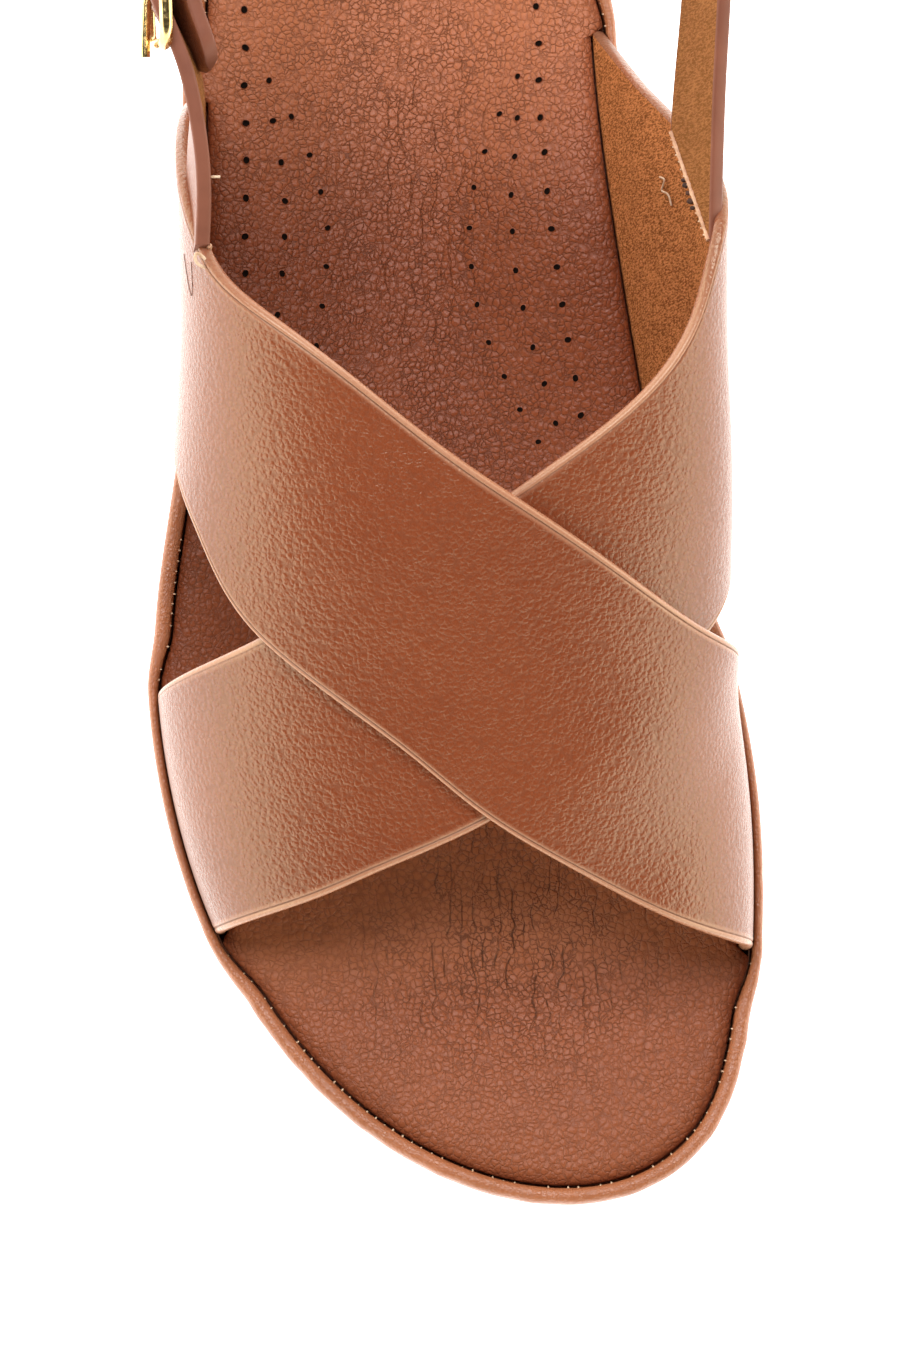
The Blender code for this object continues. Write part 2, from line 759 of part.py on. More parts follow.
def make_buckle_strap(frames, root, front, leather):
    """Strap from the lateral quarter through the buckle, slit for the prong."""
    strap = ribbon("buckle_strap", *frames, SLING_WIDE, SLING_THICK, leather)
    centre, along, up, out = frame_at(frames, (root[1] + front[1] + LENGTH) / 2 + SLIT_BEHIND)
    points = []
    for a in (-SLIT_LONG / 2, SLIT_LONG / 2):
        for b in (-SLIT_WIDE / 2, SLIT_WIDE / 2):
            for c in (-2 * SLING_THICK, 2 * SLING_THICK):
                points.append(centre + along * a + up * b + out * c)
    cutter = hide_guide(mesh_object("prong_slit", points, BOX_FACES, leather))
    cut = strap.modifiers.new("slit", "BOOLEAN")
    cut.operation = "DIFFERENCE"
    cut.object = cutter
    return strap


def make_keeper(sling, strap, leather):
    """Leather loop round the sling and the tail of the buckle strap."""
    inner, along, up, out = frame_at(sling, KEEPER_STATION)
    outer = frame_at(strap, KEEPER_STATION)[0]
    middle = (inner + outer) / 2
    across = abs((outer - inner).dot(out)) / 2 + SLING_THICK / 2 + 3 * GAP
    tall = SLING_WIDE / 2 + 2 * GAP
    points = []
    for grow in (0.0, KEEPER_THICK):
        for end in (-0.5, 0.5):
            for a, b in ((-1, -1), (1, -1), (1, 1), (-1, 1)):
                corner = out * a * (across + grow) + up * b * (tall + grow)
                points.append(middle + along * KEEPER_LONG * end + corner)
    faces = []
    for k in range(4):
        m = (k + 1) % 4
        faces.append((k, m, 4 + m, 4 + k))
        faces.append((8 + k, 8 + m, 12 + m, 12 + k))
        faces.append((k, m, 8 + m, 8 + k))
        faces.append((4 + k, 4 + m, 12 + m, 12 + k))
    return mesh_object("keeper", points, faces, leather)


make_insole()
make_rand()
make_midsole()
make_outsole(side_rows()[-1][0])
make_upper()
sling_leather = finish("sling_leather", (0.34, 0.13, 0.075), 0.5)
buckle_brass = finish("buckle_brass", (0.83, 0.60, 0.28), 0.25, 1.0)
sling_run = sling_frames(SLING, ALONG_SLING)
buckle_run = sling_frames(BUCKLE_STRAP, ALONG_BUCKLE_STRAP)
ribbon("sling", *sling_run, SLING_WIDE, SLING_THICK, sling_leather)
prong_root, front_bar = make_buckle(sling_run, buckle_run, buckle_brass)
make_buckle_strap(buckle_run, prong_root, front_bar, sling_leather)
make_keeper(sling_run, buckle_run, sling_leather)
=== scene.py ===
import math

import bmesh
import bpy
import numpy as np
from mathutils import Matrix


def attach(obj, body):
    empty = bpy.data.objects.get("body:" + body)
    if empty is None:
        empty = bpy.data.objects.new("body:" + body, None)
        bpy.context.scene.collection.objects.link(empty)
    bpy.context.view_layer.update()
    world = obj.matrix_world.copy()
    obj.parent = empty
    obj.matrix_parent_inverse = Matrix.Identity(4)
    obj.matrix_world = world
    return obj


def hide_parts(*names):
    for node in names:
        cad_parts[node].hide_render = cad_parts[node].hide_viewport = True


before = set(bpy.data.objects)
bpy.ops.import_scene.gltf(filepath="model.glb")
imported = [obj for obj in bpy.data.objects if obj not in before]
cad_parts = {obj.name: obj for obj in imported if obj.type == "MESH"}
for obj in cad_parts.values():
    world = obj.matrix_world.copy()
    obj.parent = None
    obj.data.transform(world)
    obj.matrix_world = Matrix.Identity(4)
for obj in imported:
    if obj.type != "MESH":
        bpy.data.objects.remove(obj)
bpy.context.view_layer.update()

# Outsole: brown moulded rubber, cemented under the foam wedge. It is flat under forefoot and heel,
# sprung at the toe, cut by skewed cross grooves and finely ribbed between them.

MM = 0.001
LENGTH = 256.0
GAP = 0.3
OUTSOLE = 4.0
OUTSOLE_ROUND = 1.2
OUTSOLE_ARRIS = 0.3
QUARTER_TURN = (0.0, 30.0, 60.0, 90.0)
TOE_SPRING = 9.0
TOE_SPRING_FROM = 62.0
RIM_SPRING = 0.9
HEEL_BEVEL = 3.0
HEEL_BEVEL_FROM = 240.0
WAIST_RECESS = 1.6
WAIST_FROM = 112.0
WAIST_TO = 182.0
ARCH_RISE = 4.0
ARCH_STATION = 155.0
ARCH_SPREAD = 28.0
ARCH_BLEND = 25.0
SPINE_FROM = 42.0
SPINE_LONG = 174.0
AROUND = 720
FINE_AROUND = 1440
FINE_STEPS = 2001

# Edge of the footbed, from the toe tip along the medial side: x, station back from the toe
FOOTBED_EDGE = (
    (17.0, 3.2),
    (28.5, 5.6),
    (36.8, 12.2),
    (42.0, 25.0),
    (43.9, 44.0),
    (43.3, 64.0),
    (38.6, 88.0),
    (32.2, 112.0),
    (27.0, 138.0),
    (22.8, 165.0),
    (20.8, 190.0),
    (20.4, 215.0),
    (14.0, 238.5),
    (-9.2, 252.6),
    (-32.4, 238.5),
    (-38.6, 215.0),
    (-39.5, 190.0),
    (-39.4, 160.0),
    (-39.9, 131.0),
    (-42.4, 110.0),
    (-44.9, 88.0),
    (-43.2, 68.0),
    (-38.4, 50.0),
    (-30.4, 33.5),
    (-19.8, 20.2),
    (-3.4, 8.3),
)

# Thickness of the sole at its rim and depth of the footbed's dish: station, stack, dish
SOLE_PROFILE = (
    (0.0, 19.0, 1.2),
    (35.0, 21.0, 2.4),
    (70.0, 23.0, 3.2),
    (110.0, 25.5, 3.0),
    (150.0, 29.5, 3.6),
    (190.0, 33.5, 5.4),
    (225.0, 35.5, 6.2),
    (256.0, 36.5, 3.5),
)

# Where a strap goes into the groove: medial side, first station, last station
STRAP_ENTRIES = (
    (True, 40.0, 84.0),
    (True, 110.0, 184.0),
    (False, 43.0, 80.0),
    (False, 130.0, 174.0),
)


def smooth(knots, values, places):
    """Natural cubic spline through the knots, read at the given places."""
    x = np.asarray(knots, float)
    y = np.asarray(values, float)
    step = np.diff(x)
    slope = np.diff(y) / step
    count = len(x)
    system = np.eye(count)
    right = np.zeros(count)
    for i in range(1, count - 1):
        system[i, i - 1:i + 2] = step[i - 1], 2 * (step[i - 1] + step[i]), step[i]
        right[i] = 6 * (slope[i] - slope[i - 1])
    bend = np.linalg.solve(system, right)
    places = np.clip(np.asarray(places, float), x[0], x[-1])
    i = np.clip(np.searchsorted(x, places) - 1, 0, count - 2)
    a = (x[i + 1] - places) / step[i]
    b = (places - x[i]) / step[i]
    cubic = (a ** 3 - a) * bend[i] + (b ** 3 - b) * bend[i + 1]
    return a * y[i] + b * y[i + 1] + cubic * step[i] ** 2 / 6


def column(table, index, station):
    """One column of a station table at the given stations."""
    rows = np.asarray(table, float)
    return smooth(rows[:, 0], rows[:, index], station)


def ease(value):
    """Smooth step from 0 to 1."""
    value = np.clip(value, 0.0, 1.0)
    return value * value * (3 - 2 * value)


def run_length(points):
    """Distance along a line of points from its first point."""
    return np.concatenate([[0.0], np.cumsum(np.linalg.norm(np.diff(points, axis=0), axis=1))])


def unit(vectors):
    """Vectors brought to a length of one."""
    return vectors / np.linalg.norm(vectors, axis=-1, keepdims=True)


def footbed_outline(count):
    """Points at equal steps round the footbed's edge, as x and station."""
    edge = np.array(FOOTBED_EDGE)
    overlap = 5
    points = np.vstack([edge[-overlap:], edge, edge[:overlap + 1]])
    run = run_length(points)
    fine = np.linspace(run[overlap], run[overlap + len(edge)], FINE_STEPS)
    line = np.column_stack([smooth(run, points[:, k], fine) for k in range(2)])
    arc = run_length(line)
    steps = np.linspace(0.0, arc[-1], count, endpoint=False)
    return np.interp(steps, arc, line[:, 0]), np.interp(steps, arc, line[:, 1])


FINE_X, FINE_STATION = footbed_outline(FINE_AROUND)
HEEL_END = int(np.argmax(FINE_STATION))


def edge_x(station, medial):
    """X of the footbed's edge at a station, on the medial or the lateral side."""
    if medial:
        return np.interp(station, FINE_STATION[:HEEL_END + 1], FINE_X[:HEEL_END + 1])
    return np.interp(station, FINE_STATION[HEEL_END:][::-1], FINE_X[HEEL_END:][::-1])


def middle_x(station):
    """X half way between the footbed's two edges."""
    return (edge_x(station, True) + edge_x(station, False)) / 2


def toe_share(station):
    """How far a station lies up the toe spring."""
    return np.clip((TOE_SPRING_FROM - station) / TOE_SPRING_FROM, 0, None) ** 2


def ground_lift(station):
    """Height of the sole's underside: toe spring, waist recess and heel bevel."""
    heel = np.clip((station - HEEL_BEVEL_FROM) / (LENGTH - HEEL_BEVEL_FROM), 0, None) ** 2
    share = np.clip((station - WAIST_FROM) / (WAIST_TO - WAIST_FROM), 0, 1)
    return TOE_SPRING * toe_share(station) + HEEL_BEVEL * heel + WAIST_RECESS * np.sin(math.pi * share) ** 2


def rim_height(x, station):
    """Height of the footbed's rim, raised along the medial arch."""
    plain = column(SOLE_PROFILE, 1, station) + RIM_SPRING * TOE_SPRING * toe_share(station)
    arch = ARCH_RISE * np.exp(-((station - ARCH_STATION) / ARCH_SPREAD) ** 2)
    return plain + arch * ease((x - middle_x(station)) / ARCH_BLEND)


EDGE_X, EDGE_STATION = footbed_outline(AROUND)
EDGE_Y = EDGE_STATION - LENGTH / 2
EDGE = np.column_stack([EDGE_X, EDGE_Y])
EDGE_RIM = rim_height(EDGE_X, EDGE_STATION)
EDGE_RUN = np.roll(EDGE, -1, 0) - np.roll(EDGE, 1, 0)
EDGE_OUT = unit(np.column_stack([EDGE_RUN[:, 1], -EDGE_RUN[:, 0]]))
EDGE_MEDIAL = EDGE_X > middle_x(EDGE_STATION)


def entry_share(margin, fade):
    """Share of a full slot round the edge: 1 where a strap goes into the groove."""
    share = np.zeros(AROUND)
    for medial, first, last in STRAP_ENTRIES:
        outside = np.maximum(first - EDGE_STATION, EDGE_STATION - last)
        share = np.maximum(share, (EDGE_MEDIAL == medial) * ease((margin + fade - outside) / fade))
    return share


STRAP = 2.0
SLOT_PLAIN = 0.4
SLOT_AT_STRAP = 2.4
RAND_OUT = 2.9
RAND_OUT_AT_STRAP = 4.0
ENTRY_MARGIN = -0.6
ENTRY_FADE = 1.6
SWELL_MARGIN = 0.5
SWELL_FADE = 10.0
ENTRY = entry_share(ENTRY_MARGIN, ENTRY_FADE)
SWELL = entry_share(SWELL_MARGIN, SWELL_FADE)
SLOT = SLOT_PLAIN + SWELL * (SLOT_AT_STRAP - SLOT_PLAIN)
WALL = RAND_OUT + SWELL * (RAND_OUT_AT_STRAP - RAND_OUT) - SLOT


def outward_ring(distance, height):
    """Ring set out from the footbed's edge by a distance, at a height."""
    flat = EDGE + EDGE_OUT * (distance * np.ones(AROUND))[:, None]
    return np.column_stack([flat, height * np.ones(AROUND)])


def inward_ring(share, heights):
    """Ring drawn in from the footbed's edge towards its middle line by a share."""
    spine_station = SPINE_FROM + EDGE_STATION / LENGTH * SPINE_LONG
    x = EDGE_X + (middle_x(spine_station) - EDGE_X) * share
    y = EDGE_Y + (spine_station - EDGE_STATION) * share
    return np.column_stack([x, y, heights(x, y + LENGTH / 2, share)])


def ring_faces(rings, count, closed=False, start=0):
    """Quads between successive rings of points, numbered from a start."""
    faces = []
    for ring in range(rings if closed else rings - 1):
        here = start + ring * count
        there = start + (ring + 1) % rings * count
        for i in range(count):
            j = (i + 1) % count
            faces.append((here + i, here + j, there + j, there + i))
    return faces


def ladder_cap(start, count):
    """Quads that close a long loop of points by rungs from side to side."""
    half = count // 2
    faces = [(start, start + 1, start + count - 1)]
    for i in range(1, half - 1):
        faces.append((start + i, start + i + 1, start + count - i - 1, start + count - i))
    faces.append((start + half - 1, start + half, start + half + 1))
    return faces


def sole_faces(rings):
    """Faces of a layer of the sole from its stacked rings, closed at both ends."""
    last = (len(rings) - 1) * AROUND
    return ring_faces(len(rings), AROUND) + ladder_cap(0, AROUND) + ladder_cap(last, AROUND)


def add_piece(name, points, faces, finishes, finish_of_face=None, marks=None, sharp=50.0):
    """Smooth-shaded piece from points in millimetres, with its finishes and its named marks per point."""
    mesh = bpy.data.meshes.new(name)
    mesh.from_pydata((np.asarray(points, float) * MM).tolist(), [], faces)
    shape = bmesh.new()
    shape.from_mesh(mesh)
    bmesh.ops.recalc_face_normals(shape, faces=shape.faces)
    shape.to_mesh(mesh)
    shape.free()
    for finish in finishes:
        mesh.materials.append(finish)
    if finish_of_face is not None:
        mesh.polygons.foreach_set("material_index", np.asarray(finish_of_face, np.int32))
    for mark, values in (marks or {}).items():
        layer = mesh.attributes.new(mark, "FLOAT", "POINT")
        layer.data.foreach_set("value", np.asarray(values, np.float32))
    mesh.shade_smooth()
    mesh.set_sharp_from_angle(angle=math.radians(sharp))
    made = bpy.data.objects.new(name, mesh)
    bpy.context.collection.objects.link(made)
    return made


def new_group(name, inputs, outputs):
    """Empty shader node group with named sockets. A tuple stands for a colour, a number for a value."""
    tree = bpy.data.node_groups.new(name, "ShaderNodeTree")
    for in_out, sockets in (("INPUT", inputs), ("OUTPUT", outputs)):
        for label, value in sockets.items():
            kind = "NodeSocketColor" if isinstance(value, tuple) else "NodeSocketFloat"
            made = tree.interface.new_socket(label, in_out=in_out, socket_type=kind)
            made.default_value = value
    return tree, tree.nodes.new("NodeGroupInput").outputs, tree.nodes.new("NodeGroupOutput").inputs


def plug(tree, socket, value):
    """Links a value to a socket, or sets a plain number, vector or colour on it."""
    if isinstance(value, bpy.types.NodeSocket):
        tree.links.new(value, socket)
    elif socket.type == "RGBA":
        socket.default_value = (*value[:3], 1.0)
    else:
        socket.default_value = value


def node(tree, kind, settings=None, **values):
    """Shader node with settings, and values or links on its inputs by name, or by place as in0, in1."""
    made = tree.nodes.new(kind)
    for key, value in (settings or {}).items():
        setattr(made, key, value)
    for key, value in values.items():
        by_place = key.startswith("in") and key[2:].isdigit()
        plug(tree, made.inputs[int(key[2:]) if by_place else key.replace("_", " ")], value)
    return made


def mixed(tree, factor, first, second):
    """Colour mixed from two colours by a factor."""
    return node(tree, "ShaderNodeMix", {"data_type": "RGBA"}, in0=factor, in6=first, in7=second).outputs[2]


def arith(tree, operation, first, second=0.0):
    """Value worked out from one or two values."""
    return node(tree, "ShaderNodeMath", {"operation": operation}, in0=first, in1=second).outputs[0]


def times(tree, first, second):
    """Product of two values."""
    return arith(tree, "MULTIPLY", first, second)


def plus(tree, first, second):
    """Sum of two values."""
    return arith(tree, "ADD", first, second)


def ranged(tree, value, low, high, to_low=0.0, to_high=1.0):
    """Value eased from one range to another."""
    made = node(tree, "ShaderNodeMapRange", {"interpolation_type": "SMOOTHSTEP"}, Value=value,
                From_Min=low, From_Max=high, To_Min=to_low, To_Max=to_high)
    return made.outputs[0]


def own_place(tree):
    """Place of a point in the piece's own space."""
    return node(tree, "ShaderNodeTexCoord").outputs["Object"]


def noise(tree, place, scale, detail=2.0, roughness=0.5):
    """Cloudy value over a surface."""
    made = node(tree, "ShaderNodeTexNoise", Vector=place, Scale=scale, Detail=detail, Roughness=roughness)
    return made.outputs[0]


BLACK = (0.0, 0.0, 0.0, 1.0)
WHITE = (1.0, 1.0, 1.0, 1.0)


def make_tone_drift():
    """Slow drift between two tones over a surface, as hides and mouldings have."""
    tree, given, result = new_group(
        "tone drift", {"Scale": 40.0, "Low": BLACK, "High": WHITE}, {"Color": BLACK})
    cloud = noise(tree, own_place(tree), given["Scale"], 4.0, 0.6)
    plug(tree, result["Color"], mixed(tree, ranged(tree, cloud, 0.3, 0.7), given["Low"], given["High"]))
    return tree


TONE_DRIFT = make_tone_drift()


def use_group(tree, group, **values):
    """Outputs of a node group placed with its own values."""
    return node(tree, "ShaderNodeGroup", {"node_tree": group}, **values).outputs


def new_finish(name, roughness, specular, metallic=0.0):
    """Principled material with its plain values set, its node tree and its shader's inputs."""
    made = bpy.data.materials.new(name)
    made.use_nodes = True
    shader = made.node_tree.nodes["Principled BSDF"].inputs
    shader["Roughness"].default_value = roughness
    shader["Specular IOR Level"].default_value = specular
    shader["Metallic"].default_value = metallic
    return made, made.node_tree, shader


def drifted(tree, tones, scale):
    """Colour that drifts between a low and a high tone."""
    return use_group(tree, TONE_DRIFT, Scale=scale, Low=tones[0], High=tones[1])["Color"]


def bumped(tree, shader, height, depth):
    """Relief of a height from 0 to 1 over a depth in millimetres."""
    relief = node(tree, "ShaderNodeBump", Height=height, Strength=1.0, Distance=depth * MM)
    plug(tree, shader["Normal"], relief.outputs[0])


RIB_SCALE = 200.0


def sole_rubber(name, tones, roughness, grain, depth, ribs=0.0):
    """Moulded rubber or foam: slow drift of tone, a fine sandy grain and fine ribs underneath."""
    made, tree, shader = new_finish(name, roughness=roughness, specular=0.4)
    plug(tree, shader["Base Color"], drifted(tree, tones, 45.0))
    place = own_place(tree)
    sand = noise(tree, place, grain, 3.0, 0.6)
    plug(tree, shader["Roughness"], ranged(tree, sand, 0.3, 0.7, roughness - 0.08, roughness + 0.08))
    facing = node(tree, "ShaderNodeNewGeometry").outputs["True Normal"]
    downward = node(tree, "ShaderNodeSeparateXYZ", Vector=facing).outputs["Z"]
    under = ranged(tree, downward, -0.6, -0.9)
    rib = node(tree, "ShaderNodeTexWave", {"bands_direction": "Y"}, Vector=place, Scale=RIB_SCALE)
    raised = times(tree, times(tree, rib.outputs["Fac"], under), ribs)
    bumped(tree, shader, plus(tree, sand, raised), depth)
    return made


OUTSOLE_TONES = ((0.11, 0.036, 0.019), (0.13, 0.044, 0.023))
TREAD_PITCH = 9.0
TREAD_WIDE = 2.2
TREAD_DEEP = 1.8
TREAD_SKEW = 0.12
TREAD_RUNS = ((34.0, 104.0), (190.0, 244.0))
BAR_FACES = ((0, 1, 3, 2), (4, 6, 7, 5), (0, 4, 5, 1), (2, 3, 7, 6), (0, 2, 6, 4), (1, 5, 7, 3))
RAND_DEPTH = 9.5
LEDGE_INSET = 0.9
SOLE_TAPER = 2.4
FLAT_RINGS = (0.88, 0.6, 0.3)


def rubber_top(x, station, share):
    """Top of the outsole."""
    return ground_lift(station) + OUTSOLE


def rubber_foot(x, station, share):
    """Underside of the outsole."""
    return ground_lift(station)


def make_tread_bars():
    """Skewed bars that stand where the cross grooves are cut."""
    bars = bmesh.new()
    for first, last in TREAD_RUNS:
        for station in np.arange(first, last, TREAD_PITCH):
            lift = float(ground_lift(station))
            corners = []
            for x in (-LENGTH / 4, LENGTH / 4):
                for y in (-TREAD_WIDE / 2, TREAD_WIDE / 2):
                    for z in (lift - OUTSOLE, lift + TREAD_DEEP):
                        place = (x * MM, (station - LENGTH / 2 + y + TREAD_SKEW * x) * MM, z * MM)
                        corners.append(bars.verts.new(place))
            for face in BAR_FACES:
                bars.faces.new([corners[k] for k in face])
    bmesh.ops.recalc_face_normals(bars, faces=bars.faces)
    mesh = bpy.data.meshes.new("tread_bars")
    bars.to_mesh(mesh)
    bars.free()
    made = bpy.data.objects.new("tread_bars", mesh)
    bpy.context.collection.objects.link(made)
    return made


def make_outsole():
    """Rubber outsole with its rounded lower edge and its cross grooves."""
    low = ground_lift(EDGE_STATION)
    out = SLOT + WALL - LEDGE_INSET - SOLE_TAPER
    rings = [inward_ring(share, rubber_top) for share in FLAT_RINGS]
    rings.append(outward_ring(out - OUTSOLE_ARRIS, low + OUTSOLE))
    rings.append(outward_ring(out, low + OUTSOLE - OUTSOLE_ARRIS))
    for turn in np.radians(QUARTER_TURN):
        away = OUTSOLE_ROUND * (1 - math.cos(turn))
        down = OUTSOLE_ROUND * (1 - math.sin(turn))
        rings.append(outward_ring(out - away, low + down))
    rings += [inward_ring(share, rubber_foot) for share in FLAT_RINGS[::-1]]
    rubber = sole_rubber("outsole_rubber", OUTSOLE_TONES, roughness=0.62, grain=900.0, depth=0.08, ribs=5.0)
    made = add_piece("outsole_tread", np.vstack(rings), sole_faces(rings), [rubber], sharp=35.0)
    bars = make_tread_bars()
    cut = made.modifiers.new("tread", "BOOLEAN")
    cut.operation = "DIFFERENCE"
    cut.object = bars
    bpy.context.view_layer.update()
    cut_mesh = bpy.data.meshes.new_from_object(made.evaluated_get(bpy.context.evaluated_depsgraph_get()))
    made.modifiers.clear()
    made.data = cut_mesh
    bpy.data.objects.remove(bars, do_unlink=True)
    return made


outsole = make_outsole()
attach(outsole, "root")
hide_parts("outsole")

# Midsole: brown foam wedge, moulded with one groove round its side, cemented between outsole and footbed.
# Its collar stands inside the rand.

MIDSOLE_TONES = ((0.165, 0.052, 0.026), (0.185, 0.06, 0.03))
MIDSOLE_ARRIS = (0.4, 0.3)
FOAM_TOP_RINGS = (0.88, 0.6, 0.36, 0.16)
INSOLE = 4.4
INSOLE_EDGE_DROP = 0.8
DISH_SHARE = 0.75
RIM_SHARE = 0.9
SIDE_GROOVE = 0.9
SIDE_GROOVE_SPREAD = 0.81
SIDE_GROOVE_SHARE = 0.38
SIDE_BEND = 1.5
SIDE_ROWS = 26


def footbed_height(x, station, share):
    """Dished top of the footbed, drawn in from the edge by a share."""
    dish = column(SOLE_PROFILE, 2, station) * ease(share / DISH_SHARE)
    rim = EDGE_RIM + (rim_height(x, station) - EDGE_RIM) * ease(share / RIM_SHARE)
    return rim - INSOLE_EDGE_DROP - dish


def foam_top(x, station, share):
    """Top of the foam under the footbed cover."""
    return footbed_height(x, station, share) - INSOLE - GAP


def foam_foot(x, station, share):
    """Underside of the foam."""
    return rubber_top(x, station, share) + GAP


def make_midsole():
    """Foam wedge with a rounded moulded groove along its side."""
    top = EDGE_RIM - RAND_DEPTH - GAP
    foot = ground_lift(EDGE_STATION) + OUTSOLE + GAP
    shelf = EDGE_RIM - INSOLE_EDGE_DROP - INSOLE - GAP
    out = SLOT + WALL - LEDGE_INSET
    inset, drop = MIDSOLE_ARRIS
    rings = [inward_ring(share, foam_top) for share in FOAM_TOP_RINGS]
    rings.append(outward_ring(0.0, shelf))
    rings.append(outward_ring(SLOT - GAP, shelf))
    rings.append(outward_ring(SLOT - GAP, top))
    rings.append(outward_ring(out - inset, top))
    for fall in np.linspace(0.0, 1.0, SIDE_ROWS):
        height = top - drop - (top - foot - drop) * fall
        from_groove = (height - foot) - SIDE_GROOVE_SHARE * (top - foot)
        cut = SIDE_GROOVE * np.exp(-(from_groove / SIDE_GROOVE_SPREAD) ** 2)
        rings.append(outward_ring(out - SOLE_TAPER * fall ** SIDE_BEND - cut, height))
    rings += [inward_ring(share, foam_foot) for share in FLAT_RINGS[::-1]]
    foam = sole_rubber("midsole_foam", MIDSOLE_TONES, roughness=0.58, grain=700.0, depth=0.06)
    return add_piece("midsole_wedge", np.vstack(rings), sole_faces(rings), [foam])


midsole = make_midsole()
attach(midsole, "root")
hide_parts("midsole")

# Insole: padded footbed cover of pebbled leather over foam, dished and raised at the arch. Its edge is rolled
# down into the groove, and flexing has creased it lengthwise in front of the crossing.
# Its colour is lightened by painted light at the heel, at the toe and under the crossing.

INSOLE_TONES = ((0.182, 0.0432, 0.0158), (0.216, 0.0538, 0.02))
# Lighter colour that the painted light mixes into the cover's tone
INSOLE_PAINTED_LIGHT = (0.37, 0.113, 0.048)
INSOLE_VALLEY = (0.06, 0.015, 0.007)
INSOLE_HAIR = (0.05, 0.014, 0.007)
INSOLE_ROLL = 3.2
INSOLE_ROLL_DROP = 1.1
INSOLE_REACH = 9.0
INSOLE_FOOT = (0.2, 0.6)
UNDER_RINGS = (0.95, 0.6, 0.3)
FOOT_RINGS = 2
ROLL_RINGS = np.linspace(0.008, 0.1, 9)
TOP_RINGS = np.linspace(0.12, 0.97, 46)
GRAIN_WARP = (1.15, 1.15, 1.15)
CREASE_BOW = 0.8
CREASE_ENDS = 0.2
CREASE_FROM = 0.15
CREASE_RIDGE = (0.35, 1.8, 0.8)

# Where flexing has broken the grain: station, spread along, x, spread across
FRONT_FLEX = (42.0, 19.0, 9.0, 23.0)
REAR_FLEX = (165.0, 45.0, -6.0, 16.0)
REAR_FLEX_SHARE = 0.6

# How strongly the pebbles show: plain, more at the front flex, more behind the ball, more along the middle
PEBBLES = (0.3, 0.42, 0.16, 0.16)
PEBBLES_BEHIND = (70.0, 130.0)
PEBBLES_MIDDLE = 18.0

# Painted light on the cover: lighter at the heel for brighter light there, at the toe for its sheen, and
# under the crossing to lift the straps' shadow: share, and the stations between which it comes in
HEEL_PAINTED_LIGHT = 1.1
HEEL_PAINTED_LIGHT_FROM = (145.0, 195.0)
TOE_PAINTED_LIGHT = 0.27
TOE_PAINTED_LIGHT_FROM = (85.0, 35.0)
CROSSING_PAINTED_LIGHT = 0.8
CROSSING_PAINTED_LIGHT_FRONT = (30.0, 43.0)
CROSSING_PAINTED_LIGHT_REAR = (80.0, 66.0)
CROSSING_PAINTED_LIGHT_SKEW = 0.1

# Creases of the footbed: x, station at their front end, x, station at their rear end, depth, half width
FOOTBED_CREASES = (
    (8.6, 33.0, 4.2, 56.0, 0.22, 0.9),
    (12.4, 30.0, 9.0, 52.0, 0.18, 0.8),
    (14.8, 36.0, 13.6, 55.0, 0.16, 0.8),
    (2.4, 38.0, -0.8, 55.0, 0.16, 0.8),
    (18.6, 28.0, 17.2, 44.0, 0.12, 0.7),
    (-3.0, 152.0, -1.2, 178.0, 0.14, 0.8),
    (2.0, 138.0, 1.0, 158.0, 0.12, 0.8),
    (-9.5, 140.0, -8.0, 164.0, 0.12, 0.8),
)


def footbed_creases(x, station):
    """Depth of the listed soft troughs, each with a low ridge on both sides."""
    fall = np.zeros_like(x)
    ridge, ridge_at, ridge_wide = CREASE_RIDGE
    for x_front, front, x_rear, rear, depth, half in FOOTBED_CREASES:
        share = (station - front) / (rear - front)
        bow = CREASE_BOW * np.sin(share * 2.0 * math.pi)
        away = np.abs(x - (x_front + (x_rear - x_front) * share + bow)) / half
        ends = ease(share / CREASE_ENDS) * ease((1.0 - share) / CREASE_ENDS)
        fall += depth * ends * (np.exp(-away ** 2) - ridge * np.exp(-((away - ridge_at) / ridge_wide) ** 2))
    return fall


def make_pebbled_grain():
    """Leather grain: small domed pebbles, pores and a broken net of fine valleys between them."""
    tree, given, result = new_group(
        "pebbled grain", {"Scale": 1400.0, "Crease": 0.4, "Dome": 0.65}, {"Height": 0.0, "Valley": 0.0})
    place = own_place(tree)
    scaled = node(tree, "ShaderNodeVectorMath", {"operation": "SCALE"}, in0=place, Scale=given["Scale"])
    run = scaled.outputs[0]
    warp = node(tree, "ShaderNodeTexNoise", Vector=run, Scale=0.9, Detail=2.0).outputs["Color"]
    swung = node(tree, "ShaderNodeVectorMath", {"operation": "MULTIPLY_ADD"},
                 in0=warp, in1=GRAIN_WARP, in2=run)
    swing = swung.outputs[0]
    domes = node(tree, "ShaderNodeTexVoronoi", {"feature": "F1"}, Vector=swing, Scale=1.0).outputs["Distance"]
    seams = node(tree, "ShaderNodeTexVoronoi", {"feature": "DISTANCE_TO_EDGE"}, Vector=swing, Scale=1.0)
    line = ranged(tree, seams.outputs["Distance"], 0.13, 0.0)
    patch = ranged(tree, noise(tree, run, 0.28, 2.0, 0.6), 0.35, 0.6, 0.55, 1.0)
    valley = times(tree, times(tree, line, patch), given["Crease"])
    domed = times(tree, ranged(tree, domes, 0.85, 0.05), given["Dome"])
    soft = plus(tree, domed, times(tree, noise(tree, run, 2.4, 2.0, 0.6), 0.32))
    plug(tree, result["Height"], arith(tree, "SUBTRACT", soft, times(tree, valley, 0.55)))
    hollow = times(tree, times(tree, ranged(tree, domes, 0.45, 0.85), 0.75), given["Dome"])
    plug(tree, result["Valley"], arith(tree, "MAXIMUM", hollow, valley))
    return tree


PEBBLED_GRAIN = make_pebbled_grain()


def point_mark(tree, name):
    """Value of a mark that the mesh carries at its points."""
    return node(tree, "ShaderNodeAttribute", {"attribute_name": name}).outputs["Fac"]


